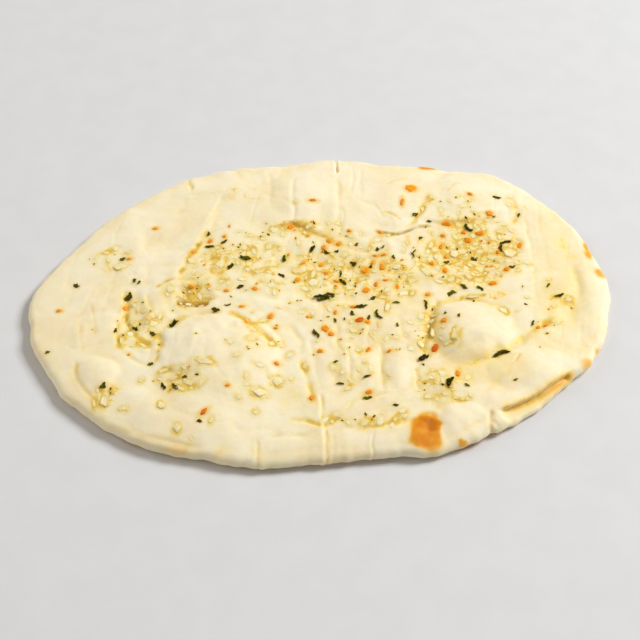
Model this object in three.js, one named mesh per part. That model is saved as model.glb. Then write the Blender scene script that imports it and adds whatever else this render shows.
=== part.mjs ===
// Naan bread: an oval leavened flatbread, baked puffed and soft, brushed with butter and strewn
// with chopped garlic, herb leaf and chilli. Millimetres, +Z up, lying on z = 0 with +X along
// its length. The origin is on the surface that it lies on, under the middle of the bread.

import * as THREE from "three";

// The bread's cross-section
const RIM_TOP = 7;            // height of the crust where the rounded rim begins
const RIM_MIDDLE = 3.5;       // height at which the rim stands out furthest
const RIM_ROUND = 4.5;        // width of the rounded rim, outside the crust
const BODY_TOP = 9.5;         // height of the crust in the middle, before bubbles and hollows
const BODY_FALL = 5;          // how late the crust falls to the rim: a power of the way out
const SOLE_INSET = 9;         // the flat sole stops this far inside the outline

// How finely the bread is divided
const COLUMNS = 100;          // round the outline
const CROWN_RINGS = 24;       // from the middle out to the rounded rim
const RIM_RINGS = 3;          // in each half of the rounded rim, upper and lower
const RINGS = CROWN_RINGS + 2 * RIM_RINGS + 1;

// The toppings
const GARLIC_THICKNESS = 1.6;
const GARLIC_TAPER = 0.5;     // how much narrower one end of a piece is than the other
const HERB_THICKNESS = 0.5;
const HERB_CURL = 0.25;       // how far the ends of a flake rise
const CHILLI_THICKNESS = 1.6;
const CHILLI_SIDES = 5;
const CHILLI_TOP = 0.4;       // a bit's reach at the top and at the foot, as shares of its length
const CHILLI_FOOT = 0.5;
const LEAN_SHARES = [0.3, 0.6];    // how far out the crust's lean is felt, as shares of the length
const LEAN_BEARINGS = 8;           // and in how many directions
const REST_GAP = 0.35;        // between the crust and the lowest point of a topping
const ABOVE_BREAD = 60;       // a height clear of the bread, to look down from

// The outline, counter-clockwise from the right-hand end
const OUTLINE = [
  [141, 12], [138, 22], [135, 33], [128, 50], [111, 70], [100, 81], [90, 88], [70, 90],
  [57, 94.5], [42, 94], [28, 96.5], [6, 98.5], [-10, 95.5], [-30, 93.5], [-50, 90.5], [-70, 83],
  [-90, 69], [-110, 50], [-124, 30], [-134, 11], [-140, -4], [-138, -16], [-134, -31], [-126, -46],
  [-114, -63], [-97, -77], [-78, -88], [-55, -94], [-35, -98.5], [-12, -98.5], [10, -96], [30, -93.5],
  [48, -93], [62, -89], [76, -81], [88, -74.5], [101, -65], [113, -52.5], [125, -43], [132, -31],
  [137, -17], [140, -2],
];

// Bubbles, raised panes and hollows: middle, half length, half width, turn in degrees, and rise
const FEATURES = [
  { x: -50, y: -37, long: 32, wide: 31, turn: 0, rise: 6.5 },      // large bubble, left
  { x: 67, y: -20, long: 22, wide: 20, turn: 30, rise: 5.5 },      // bubble, right
  { x: -103, y: -50, long: 15, wide: 11, turn: 60, rise: 2.5 },    // small bubble, far left
  { x: -92, y: 40, long: 58, wide: 26, turn: 38, rise: 2.5 },      // smooth pane, back left
  { x: -6, y: 67, long: 22, wide: 20, turn: 0, rise: 2.5 },        // smooth pane, back middle
  { x: 68, y: 64, long: 30, wide: 17, turn: 0, rise: 2.5 },        // smooth pane, back right
  { x: 124, y: 0, long: 48, wide: 13, turn: 100, rise: 2 },        // right-hand flank
  { x: 94, y: -48, long: 34, wide: 13, turn: 30, rise: 2.5 },      // folded roll, front right
  { x: -50, y: -83, long: 60, wide: 12, turn: -8, rise: 2 },       // front roll, left of the fold
  { x: 35, y: -80, long: 36, wide: 13, turn: 3, rise: 2 },         // front roll, right of the fold
  { x: 20, y: -45, long: 30, wide: 18, turn: 0, rise: 1.5 },       // quilted middle
  { x: -90, y: -18, long: 26, wide: 9, turn: 100, rise: -3 },      // buttery valley, left
  { x: -60, y: 0, long: 16, wide: 9, turn: -30, rise: -3 },        // butter pool
  { x: 12, y: 14, long: 62, wide: 27, turn: 0, rise: -2 },         // buttery middle
  { x: 50, y: -18, long: 24, wide: 7, turn: 95, rise: -3 },        // crease beside the right bubble
  { x: 92, y: -28, long: 34, wide: 7, turn: 35, rise: -2.5 },      // slanting valley, right
  { x: 107, y: 24, long: 32, wide: 7, turn: 95, rise: -2 },        // long crease, right
  { x: -3, y: -64, long: 28, wide: 6, turn: 100, rise: -2.5 },     // crease in the front middle
  { x: -58, y: 40, long: 36, wide: 8, turn: 65, rise: -1.5 },      // foot of the back left pane
];

// Toppings: middle, length, width, and turn in degrees
const GARLIC_PIECES = [
  [94, 26, 8, 7, 60], [67, 26, 6, 5, 40], [57.5, 23.5, 6, 2.5, 80], [40, -2, 8, 3.5, 35],
  [32.5, -11, 8, 3, 80], [-97.5, 16, 8, 5, 20], [-19, -56, 7, 6, 90], [-26.5, -63, 9, 5, 0],
  [-52.5, -48, 11, 4, -15], [53.5, -27.5, 8, 3, 85], [86.5, -14, 6, 5, 110], [-70.5, -70, 5, 4, 100],
  [-62.5, -82, 6, 4, 95], [-3.5, 6, 7, 6, 80], [37.5, 16, 6, 4, 20], [46.5, -34.5, 5.5, 3, -45],
  [-96.5, -66, 9, 4, 100],
];
const HERB_FLAKES = [
  [2.5, -4, 11, 6, 20], [-36.5, 21.5, 6, 4, -5], [-54.5, 30, 5, 3, 0], [-43.5, 15.5, 5, 4, 60],
  [-17.5, 22, 5, 3.5, 100], [-18.5, 10, 4, 3, -30], [-91.5, -4, 6, 4, 50], [-68, -22, 7, 5, 60],
  [-86, -24, 4, 2.5, -40], [-77.5, -28, 4, 3, -20], [-97.5, -58, 4, 3, 60], [-70, -59, 5, 2.5, -50],
  [-49, -13, 4.5, 4, 0], [-117.5, 3.5, 4, 3.5, 0], [19.5, -10, 7, 3, 5], [51, -9, 6.5, 2, 88],
  [69.5, 3, 4.5, 4.5, 30], [77.5, 1.5, 4.5, 3.5, -50], [74.5, 43, 7, 3, -60], [92.5, 33, 6, 2.5, 10],
  [47.5, -42.5, 6, 4, 25], [83.5, -40, 9, 3, 25],
];
const CHILLI_BITS = [
  [47.5, 73, 7, 6.5, 0], [53.5, -36.5, 6.5, 3.5, 60], [-51, -74, 5.5, 3, 45], [-31, 0.5, 3.5, 3, 0],
  [-62.5, 26, 3, 2, 60], [-82.5, 43, 3, 2.5, 0], [-123.5, -12, 3, 2.5, 0], [-34.5, -22, 5, 2.5, -70],
  [-23, -17, 4, 3, 60], [22.5, 1, 5, 4, 60], [22.5, 14.5, 5, 4, 60], [30.5, 16.5, 6, 3, 90],
  [18.5, -19.5, 5.5, 4.5, 20], [2.5, -24.5, 5, 4.5, -45], [52, -2, 3.5, 3, 0], [58.5, -22, 4, 3.5, 0],
  [86.5, 53, 4.5, 4, 0], [80.5, 39.5, 5, 3.5, 10], [74.5, 35, 4.5, 4, 0], [83.5, 5, 5, 3.5, 20],
];

const UP = new THREE.Vector3(0, 0, 1);
const DOWN = new THREE.Vector3(0, 0, -1);

const crustLook = new THREE.MeshStandardMaterial({ color: "#f6e7c1", roughness: 0.6, metalness: 0 });
const garlicLook = new THREE.MeshStandardMaterial({ color: "#f5d58c", roughness: 0.4, metalness: 0 });
const herbLook = new THREE.MeshStandardMaterial({ color: "#3f4b12", roughness: 0.7, metalness: 0 });
const chilliLook = new THREE.MeshStandardMaterial({ color: "#e87612", roughness: 0.4, metalness: 0 });

// Points evenly spaced along a smooth closed curve through the outline.
function rimPoints() {
  const corners = OUTLINE.map(([x, y]) => new THREE.Vector3(x, y, 0));
  const outline = new THREE.CatmullRomCurve3(corners, true, "centripetal");
  return Array.from({ length: COLUMNS }, (_, column) => outline.getPointAt(column / COLUMNS));
}

// How much one feature lifts the crust: its full rise in the middle, easing to none at its edge.
function featureLift(feature, x, y) {
  const turn = THREE.MathUtils.degToRad(feature.turn);
  const along = (x - feature.x) * Math.cos(turn) + (y - feature.y) * Math.sin(turn);
  const across = (y - feature.y) * Math.cos(turn) - (x - feature.x) * Math.sin(turn);
  const away = Math.min(1, Math.hypot(along / feature.long, across / feature.wide));
  return feature.rise * (1 + Math.cos(Math.PI * away)) / 2;
}

// Height of the crust at a point that is the given share of the way out to the rim.
function crustHeight(x, y, share) {
  const bare = THREE.MathUtils.lerp(BODY_TOP, RIM_TOP, share ** BODY_FALL);
  const lift = FEATURES.reduce((sum, feature) => sum + featureLift(feature, x, y), 0);
  return bare + lift * (1 - share ** (2 * BODY_FALL));
}

// A point of the bread's skin: rings run from the middle of the crust, over the rounded rim and
// under it to the flat sole.
function skinPoint(rim, ring) {
  const radius = rim.length();
  if (ring <= CROWN_RINGS) {
    const share = ring / CROWN_RINGS;
    const point = rim.clone().setLength(share * (radius - RIM_ROUND));
    return point.setZ(crustHeight(point.x, point.y, share));
  }
  if (ring <= CROWN_RINGS + RIM_RINGS) {
    const angle = ((ring - CROWN_RINGS) / RIM_RINGS) * (Math.PI / 2);
    const point = rim.clone().setLength(radius - RIM_ROUND * (1 - Math.sin(angle)));
    return point.setZ(RIM_MIDDLE + (RIM_TOP - RIM_MIDDLE) * Math.cos(angle));
  }
  if (ring < RINGS) {
    const angle = ((ring - CROWN_RINGS - RIM_RINGS) / RIM_RINGS) * (Math.PI / 2);
    const point = rim.clone().setLength(radius - SOLE_INSET * (1 - Math.cos(angle)));
    return point.setZ(ring === RINGS - 1 ? 0 : RIM_MIDDLE * (1 - Math.sin(angle)));
  }
  return new THREE.Vector3(0, 0, 0);
}

// The bread: a globe's rings and columns drawn out to the skin. A globe's columns turn
// counter-clockwise seen from its pole, as the outline does, so its faces stay outward.
function makeBread() {
  const rim = rimPoints();
  const skin = new THREE.SphereGeometry(1, COLUMNS, RINGS);
  const points = skin.attributes.position;
  for (let index = 0; index < points.count; index += 1) {
    const ring = Math.floor(index / (COLUMNS + 1));
    const column = index % (COLUMNS + 1) % COLUMNS;
    points.setXYZ(index, ...skinPoint(rim[column], ring).toArray());
  }
  skin.computeVertexNormals();
  const bread = new THREE.Mesh(skin, crustLook);
  bread.name = "naan_bread";
  return bread;
}

// A chopped piece of garlic: a rounded block, narrower towards one end.
function garlicPiece(length, width) {
  const piece = new THREE.DodecahedronGeometry(0.5);
  const points = piece.attributes.position;
  for (let index = 0; index < points.count; index += 1) {
    points.setY(index, points.getY(index) * (1 - GARLIC_TAPER * points.getX(index)));
  }
  return piece.scale(length, width, GARLIC_THICKNESS);
}

// A flake of herb leaf: pointed at both ends, with a lobe on one side, curling up at the ends.
function herbFlake(length, width) {
  const leaf = new THREE.Shape();
  leaf.moveTo(-0.5, 0);
  leaf.lineTo(-0.2, -0.42);
  leaf.lineTo(0.15, -0.5);
  leaf.lineTo(0.5, -0.05);
  leaf.lineTo(0.3, 0.3);
  leaf.lineTo(0.05, 0.18);
  leaf.lineTo(-0.15, 0.5);
  const flake = new THREE.ExtrudeGeometry(leaf, { depth: 1, bevelEnabled: false });
  flake.scale(length, width, HERB_THICKNESS);
  const curl = HERB_CURL / length;
  const points = flake.attributes.position;
  for (let index = 0; index < points.count; index += 1) {
    points.setZ(index, points.getZ(index) + curl * points.getX(index) ** 2);
  }
  return flake;
}

// A chopped bit of chilli: a squat five-sided block with sloping sides.
function chilliBit(length, width) {
  const bit = new THREE.CylinderGeometry(CHILLI_TOP, CHILLI_FOOT, 1, CHILLI_SIDES);
  bit.rotateX(Math.PI / 2);
  return bit.scale(length, width, CHILLI_THICKNESS);
}

// Finds the crust under a point by looking straight down on the bread.
function crustBelow(bread, x, y) {
  const look = new THREE.Raycaster(new THREE.Vector3(x, y, ABOVE_BREAD), DOWN);
  return look.intersectObject(bread)[0].point;
}

// Lays a topping on the crust: tilted as the crust is there, and clear of it all round.
function layOnCrust(bread, topping, x, y, span, turn) {
  const middle = crustBelow(bread, x, y);
  const spots = [];
  for (const share of LEAN_SHARES) {
    for (let count = 0; count < LEAN_BEARINGS; count += 1) {
      const angle = (count / LEAN_BEARINGS) * 2 * Math.PI;
      const away = share * span;
      spots.push(crustBelow(bread, x + away * Math.cos(angle), y + away * Math.sin(angle)));
    }
  }
  const lean = new THREE.Vector3();
  for (const spot of spots) {
    const step = spot.clone().sub(middle);
    lean.x -= step.x * step.z;
    lean.y -= step.y * step.z;
    lean.z += (step.x ** 2 + step.y ** 2) / 2;
  }
  lean.normalize();
  const highest = Math.max(0, ...spots.map((spot) => spot.clone().sub(middle).dot(lean)));
  topping.geometry.computeBoundingBox();
  const sink = topping.geometry.boundingBox.min.z;
  topping.position.copy(middle).addScaledVector(lean, highest + REST_GAP - sink);
  topping.quaternion.setFromUnitVectors(UP, lean);
  topping.rotateZ(THREE.MathUtils.degToRad(turn));
}

// Makes every topping of one kind, numbered from 01.
function strew(bread, kind, places, shape, look) {
  return places.map(([x, y, length, width, turn], index) => {
    const topping = new THREE.Mesh(shape(length, width), look.clone());
    topping.name = `${kind}_${String(index + 1).padStart(2, "0")}`;
    layOnCrust(bread, topping, x, y, length, turn);
    return topping;
  });
}

const bread = makeBread();
const naan = new THREE.Group();
const toppings = [
  ...strew(bread, "garlic_piece", GARLIC_PIECES, garlicPiece, garlicLook),
  ...strew(bread, "herb_flake", HERB_FLAKES, herbFlake, herbLook),
  ...strew(bread, "chilli_bit", CHILLI_BITS, chilliBit, chilliLook),
];
naan.add(bread, ...toppings);

// The origin goes under the middle of the bread's own box.
bread.geometry.computeBoundingBox();
const middle = bread.geometry.boundingBox.getCenter(new THREE.Vector3());
naan.position.set(-middle.x, -middle.y, 0);

export default naan;
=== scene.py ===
# %% [markdown]
# # A garlic naan
#
# A naan is one piece of soft leavened dough, stretched by hand into an oval and baked until it
# puffs. This lesson builds one around a fixed engineering model. The model says how long, wide
# and thick the bread is and where the larger toppings lie; Blender adds what the eye looks for:
# bubbles, folds, buttery creases, brown spots, and hundreds of crumbs of garlic and herb.
#
# The fixed model comes first, because every measure below is taken from it.

# %% Load the fixed model
import math
import random

import bmesh
import bpy
import numpy as np
from mathutils import Matrix, Vector
from mathutils.bvhtree import BVHTree


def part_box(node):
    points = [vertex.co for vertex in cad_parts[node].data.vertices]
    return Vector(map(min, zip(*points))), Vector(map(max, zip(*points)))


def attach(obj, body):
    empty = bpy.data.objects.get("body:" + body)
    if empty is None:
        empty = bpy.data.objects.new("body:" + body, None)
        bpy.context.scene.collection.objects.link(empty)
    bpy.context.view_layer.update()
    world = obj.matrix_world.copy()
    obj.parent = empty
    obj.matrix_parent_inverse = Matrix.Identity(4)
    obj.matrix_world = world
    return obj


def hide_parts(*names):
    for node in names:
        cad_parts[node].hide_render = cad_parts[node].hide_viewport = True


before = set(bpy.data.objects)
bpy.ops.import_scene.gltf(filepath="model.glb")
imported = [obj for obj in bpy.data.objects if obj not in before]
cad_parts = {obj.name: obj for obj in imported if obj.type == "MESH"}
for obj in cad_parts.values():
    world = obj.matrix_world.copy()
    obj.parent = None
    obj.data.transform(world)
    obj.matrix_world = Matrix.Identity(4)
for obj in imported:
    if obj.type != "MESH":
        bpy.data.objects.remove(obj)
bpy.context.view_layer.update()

MM = 0.001
scene = bpy.context.scene


def in_mm(point):
    """A point in millimetres with one decimal, for printing."""
    return [round(v / MM, 1) for v in point]


# %% [markdown]
# ## Camera, light and floor
#
# Food is photographed under a big soft light, with a little fill from the other side, so that
# folds show as gentle shade and never as black shadow. The camera looks down at the bread as a
# person at the table does. These come first so that every later step can be looked at.

# %% Camera
CAMERA_TILT = math.radians(48.5)      # how far the camera looks down
CAMERA_AWAY = 587 * MM
LOOK_AT = Vector((-0.2, -17.8, 8.0)) * MM

camera_data = bpy.data.cameras.new("camera")
camera_data.lens = 70
camera_data.sensor_width = 36
camera_data.clip_start = 0.01
camera = bpy.data.objects.new("camera", camera_data)
scene.collection.objects.link(camera)
back = Vector((0, -math.cos(CAMERA_TILT), math.sin(CAMERA_TILT)))
camera.location = LOOK_AT + back * CAMERA_AWAY
camera.rotation_euler = back.to_track_quat("Z", "Y").to_euler()
scene.camera = camera
print("camera at", [round(v, 3) for v in camera.location])

# %% Soft studio light
def softbox(name, place, size, power, colour):
    """A square lamp that faces the middle of the bread."""
    lamp = bpy.data.lights.new(name, "AREA")
    lamp.size = size
    lamp.energy = power
    lamp.color = colour
    lamp_object = bpy.data.objects.new(name, lamp)
    scene.collection.objects.link(lamp_object)
    lamp_object.location = place
    lamp_object.rotation_euler = Vector(place).to_track_quat("Z", "Y").to_euler()


softbox("key_light", place=(1.66, 0.66, 1.58), size=0.8, power=53.0, colour=(1.0, 0.985, 0.96))
softbox("fill_light", place=(-1.5, 0.2, 0.95), size=1.2, power=9.0, colour=(1.0, 0.92, 0.80))

world = bpy.data.worlds.new("studio")
world.use_nodes = True
surroundings = world.node_tree.nodes["Background"]
surroundings.inputs["Color"].default_value = (1.0, 0.93, 0.83, 1)
surroundings.inputs["Strength"].default_value = 0.30
scene.world = world
scene.view_settings.view_transform = "Standard"

# %% [markdown]
# ## Reading the outline from the fixed model
#
# The oval's edge is the fixed model's widest ring. Its points are read once and turned into a
# smooth reach for every bearing, so anything that needs the edge can ask how far out it is.
# A few small ripples are added, because no baked rim is as even as a drawn one.

# %% The outline
RIM_MIDDLE = 3.5       # height of the widest ring of the fixed model, in mm
RING_NEAR = 0.02       # a point this near to that height belongs to the ring
BEARINGS = 1440        # how many bearings the reach is worked out for
RIM_SMOOTH = 5         # how many of them each one is averaged with, on each side
RIPPLES = [(23, 0.30, 0.4), (41, 0.22, 2.1), (67, 0.16, 4.0), (113, 0.09, 1.2)]  # waves, mm, start

cad_points = np.array([v.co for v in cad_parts["naan_bread"].data.vertices]) / MM
ring = cad_points[np.abs(cad_points[:, 2] - RIM_MIDDLE) < RING_NEAR]
ring_bearing = np.arctan2(ring[:, 1], ring[:, 0])
ring_order = np.argsort(ring_bearing)
ring_reach = np.hypot(ring[:, 0], ring[:, 1])
bearings = np.linspace(-np.pi, np.pi, BEARINGS, endpoint=False)
reach = np.interp(bearings, ring_bearing[ring_order], ring_reach[ring_order], period=2 * np.pi)
window = np.hanning(2 * RIM_SMOOTH + 3)[1:-1]
wrapped = np.concatenate([reach[-RIM_SMOOTH:], reach, reach[:RIM_SMOOTH]])
reach = np.convolve(wrapped, window / window.sum(), mode="valid")
for waves, size, start in RIPPLES:
    reach += size * np.sin(waves * bearings + start + 1.5 * np.sin(5 * bearings + start))
print("outline points:", len(ring), "reach in mm:", reach.min().round(1), "to", reach.max().round(1))


def reach_at(bearing):
    """How far the outline is from the middle at each bearing, in mm."""
    return np.interp(bearing, bearings, reach, period=2 * np.pi)


# %% [markdown]
# ## Strokes: a sculptor's thumb in code
#
# Nearly all of a naan's relief is one of four things: a bubble, a crease, a fold where one side
# stands higher, and a slow random swell. Each gets a small function that takes the points of
# the crust and gives back a height. A crease or a fold follows a stroke: a few listed points,
# joined by a smooth curve.

# %% Strokes: a smooth line, and where points lie beside it
def smooth(value):
    """Eases from 0 to 1 as value goes from 0 to 1."""
    value = np.clip(value, 0, 1)
    return value * value * (3 - 2 * value)


def curve_through(points, steps=6):
    """A smooth line through points, with a few more points in each stretch."""
    points = np.array(points, float)
    ends = np.vstack([2 * points[0] - points[1], points, 2 * points[-1] - points[-2]])
    line = []
    for before, start, end, after in zip(ends, ends[1:], ends[2:], ends[3:]):
        slope = end - before
        bend = 2 * before - 5 * start + 4 * end - after
        twist = 3 * start - before - 3 * end + after
        for t in np.arange(steps) / steps:
            line.append(0.5 * (2 * start + slope * t + bend * t**2 + twist * t**3))
    return np.array(line + [points[-1]])


def stroke(x, y, points, margin):
    """Finds the points within margin of a stroke. Gives their indices, how far they are to the
    left of it (negative: to the right), and how far along it they are, from 0 to 1."""
    line = curve_through(points)
    low, high = line.min(0) - margin, line.max(0) + margin
    near = np.flatnonzero((x > low[0]) & (x < high[0]) & (y > low[1]) & (y < high[1]))
    px, py = x[near], y[near]
    best = np.full(len(near), np.inf)
    side = np.zeros(len(near))
    along = np.zeros(len(near))
    lengths = np.hypot(*np.diff(line, axis=0).T)
    total = lengths.sum()
    gone = 0.0
    for (ax, ay), (bx, by), length in zip(line, line[1:], lengths):
        ux, uy = (bx - ax) / length, (by - ay) / length
        t = np.clip((px - ax) * ux + (py - ay) * uy, 0, length)
        ox, oy = px - ax - t * ux, py - ay - t * uy
        away = np.hypot(ox, oy)
        closer = away < best
        left = np.where((px - ax) * -uy + (py - ay) * ux < 0, -1.0, 1.0)
        best = np.where(closer, away, best)
        side = np.where(closer, away * left, side)
        along = np.where(closer, (gone + t) / total, along)
        gone += length
    return near, side, along


def fade_ends(along, share=0.2):
    """Falls to 0 at both ends of a stroke."""
    return smooth(along / share) * smooth((1 - along) / share)


print("a crease of 3 points becomes a line of", len(curve_through([(0, 0), (10, 5), (20, 0)])))

# %% Swells, bubbles and blots
SWELL_GRID = 128       # random heights along each side of the grid that a swell reads
DOME_SOFTER = 0.8      # how much gentler a bubble is on its near side


def swell(x, y, size, seed, stretch=1.0, turn=0.0):
    """A slow random rise and fall between -1 and 1, with hills about size mm apart. With
    stretch above 1 the hills are that much longer along the turn, in degrees."""
    grid = np.random.default_rng(seed).uniform(-1, 1, (SWELL_GRID, SWELL_GRID))
    turn = math.radians(turn)
    u = (x * math.cos(turn) + y * math.sin(turn)) / (size * stretch)
    v = (y * math.cos(turn) - x * math.sin(turn)) / size
    i, j = np.floor(u).astype(int), np.floor(v).astype(int)
    fu, fv = smooth(u - i), smooth(v - j)

    def corner(di, dj):
        return grid[(i + di) % SWELL_GRID, (j + dj) % SWELL_GRID]

    lower = corner(0, 0) * (1 - fu) + corner(1, 0) * fu
    upper = corner(0, 1) * (1 - fu) + corner(1, 1) * fu
    return lower * (1 - fv) + upper * fv


def bubble(x, y, middle, sides, rise, fullness):
    """A puffed dome. sides are its reaches to the left, right, near and far."""
    left, right, near, far = sides
    dx, dy = x - middle[0], y - middle[1]
    away = np.hypot(dx / np.where(dx < 0, left, right), dy / np.where(dy < 0, near, far))
    softer = DOME_SOFTER * np.clip(-dy / near, 0, 1)
    return rise * (1 - np.clip(away, 0, 1) ** 2) ** (fullness + softer)


def blot(x, y, middle, long, wide, square=2.0):
    """A soft patch that is 1 in the middle and 0 outside. It is an ellipse where square is 2,
    and a rounded rectangle where it is higher."""
    u, v = np.abs((x - middle[0]) / long), np.abs((y - middle[1]) / wide)
    return smooth((1 - (u**square + v**square) ** (1 / square)) * 2.2)


line_x = np.linspace(0, 100, 201)
print("a swell of 15 mm hills, from", swell(line_x, line_x, 15, 4).min().round(2),
      "to", swell(line_x, line_x, 15, 4).max().round(2))

# %% [markdown]
# ## What the hand and the oven did to this crust
#
# Sizes are in millimetres, with x to the right and y away from the viewer. Folds are drawn so
# that the higher side is on the left of the stroke. Butter runs into the low places, so each
# crease also says how much butter it holds, and how dark the line along its bottom is: seeped
# butter, and painted shade in the crease.

# %% Bubbles and hollows of this crust
BUBBLES = [  # middle, reach to the left, right, near and far, rise, fullness
    ((-50, -37), (28, 33, 44, 23), 5.1, 1.0),    # large bubble on the left
    ((-46, -42), (16, 18, 18, 16), 0.8, 1.5),     # its swollen top
    ((67, -24), (16, 25, 23, 18), 4.8, 1.0),     # bubble on the right
    ((-103, -51), (10, 12, 13, 11), 1.9, 1.0),    # small bubble, far left
    ((-100, 38), (34, 26, 36, 36), 1.3, 1.6),     # pane at the back left
    ((-58, 74), (30, 28, 12, 16), 0.9, 1.6),
    ((-8, 68), (18, 16, 22, 24), 1.5, 1.2),       # pane at the back, middle
    ((31, 66), (18, 18, 20, 26), 0.9, 1.4),
    ((37, 47), (8, 9, 7, 6), 0.8, 1.2),
    ((76, 66), (22, 22, 17, 22), 1.7, 1.2),       # pane at the back right
    ((116, 40), (12, 12, 26, 26), 0.9, 1.4),
    ((133, -2), (9, 8, 34, 34), 1.5, 1.2),        # the flank on the right
    ((97, -50), (22, 24, 12, 15), 2.3, 1.0),      # the roll above the lip
    ((97, -14), (14, 20, 14, 14), 0.7, 1.4),
    ((62, -77), (9, 13, 13, 11), 1.9, 1.0),       # block between the brown spot and the lip
    ((34, -88), (18, 16, 10, 9), 1.4, 1.2),
    ((12, -88), (9, 9, 10, 8), 1.0, 1.2),
    ((-14, -92), (14, 15, 9, 8), 1.0, 1.2),       # blocks along the front
    ((-48, -84), (24, 20, 12, 14), 1.1, 1.4),
    ((-82, -72), (18, 20, 12, 14), 1.0, 1.4),
    ((12, -46), (6, 6, 14, 14), 1.0, 1.0),        # quilted pillows
    ((21, -46), (7, 7, 15, 12), 1.1, 1.1),
    ((36, -48), (8, 9, 14, 14), 1.2, 1.1),
    ((3, -50), (5, 6, 12, 14), 0.7, 1.1),
    ((56, -56), (10, 9, 8, 8), 0.7, 1.2),
    ((16, 2), (13, 15, 9, 8), 0.6, 1.4),
    ((-28, 6), (14, 12, 10, 9), 0.7, 1.4),
    ((-14, 31), (14, 14, 9, 8), 0.8, 1.3),
    ((42, 18), (9, 9, 12, 11), 0.7, 1.3),
    ((72, 14), (9, 10, 8, 8), 0.6, 1.4),
    ((-78, -16), (6, 8, 12, 12), 0.8, 1.1),
]
HOLLOWS = [  # the same, pressed in
    ((-90, -18), (8, 9, 20, 18), -1.9, 1.3),
    ((-61, -4), (10, 11, 8, 9), -2.2, 1.2),
    ((12, 12), (64, 56, 32, 28), -1.2, 1.5),
    ((74, 26), (32, 28, 28, 24), -1.1, 1.5),
    ((-64, -55), (15, 14, 8, 8), -0.9, 1.4),
    ((-86, 34), (5, 8, 14, 12), -0.5, 1.5),
]
print(len(BUBBLES), "bubbles and", len(HOLLOWS), "hollows")

# %% Folds of this crust
MIDDLE_FOLD = [(27, 42), (31, 39.5), (38, 38.5), (45, 42), (52, 44.5), (59, 44)]
PANE_SIDE = [(57, 70), (53, 60), (50, 53), (47, 47), (41, 43)]
FRONT_ROLL = [(-104, -68), (-94, -77), (-80, -83.5), (-66, -87), (-48, -91)]
FOLDS = [  # stroke with its higher side on the left, rise, how far the rise reaches, softness
    ([(-80, -1), (-73, 5), (-69, 10), (-66, 18), (-61, 32), (-57, 43), (-53, 58), (-47, 70)], 1.5, 8, 2.4),
    ([(-29, 38), (-23, 42), (-16, 46), (-8, 43), (0, 38), (9, 32)], 1.3, 12, 1.7),
    (MIDDLE_FOLD, 0.9, 8, 0.8),
    ([(48, 50), (60, 48), (68, 47), (78, 48), (88, 52), (98, 60)], 1.5, 12, 1.6),
    (PANE_SIDE, 0.6, 8, 1.4),
    ([(2, -106), (2.5, -90), (1, -80), (0, -70), (-4, -58)], 0.6, 9, 1.0),
    ([(8, 36), (9, 60), (8.5, 80), (8, 106)], 0.5, 10, 2.2),
    ([(32, -62), (14, -68), (6, -76)], 0.5, 8, 1.2),
    ([(103, -10), (104, 18), (104, 40), (105, 57)], 0.5, 12, 1.0),
    ([(-20, -72), (-50, -68), (-84, -58)], 0.5, 14, 5.0),
    ([(52, -71), (41, -77), (24, -80), (14, -80)], 0.9, 9, 1.6),
    ([(-108, -39), (-112, -29), (-114, -18)], 0.4, 8, 1.0),
    (FRONT_ROLL, 0.6, 9, 1.2),
]
LIP_SEAM = [(78, -71.5), (84, -68.7), (91, -65.2), (98, -61), (105, -55.8), (111, -51), (117, -47)]
LIP_DROP = 3.2         # the lower layer lies this far below the roll
LIP_STEP = 0.9         # the drop happens within this width
LIP_TAIL = 30          # the lower layer comes back up over this distance
LIP_ROUND = 3.4        # the roll's edge is round over this width
LIP_BOW = 1.2          # and bows down by this much
LIP_FADE = 0.12        # share of the seam over which each of its ends fades out
print(len(FOLDS), "folds")

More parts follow.
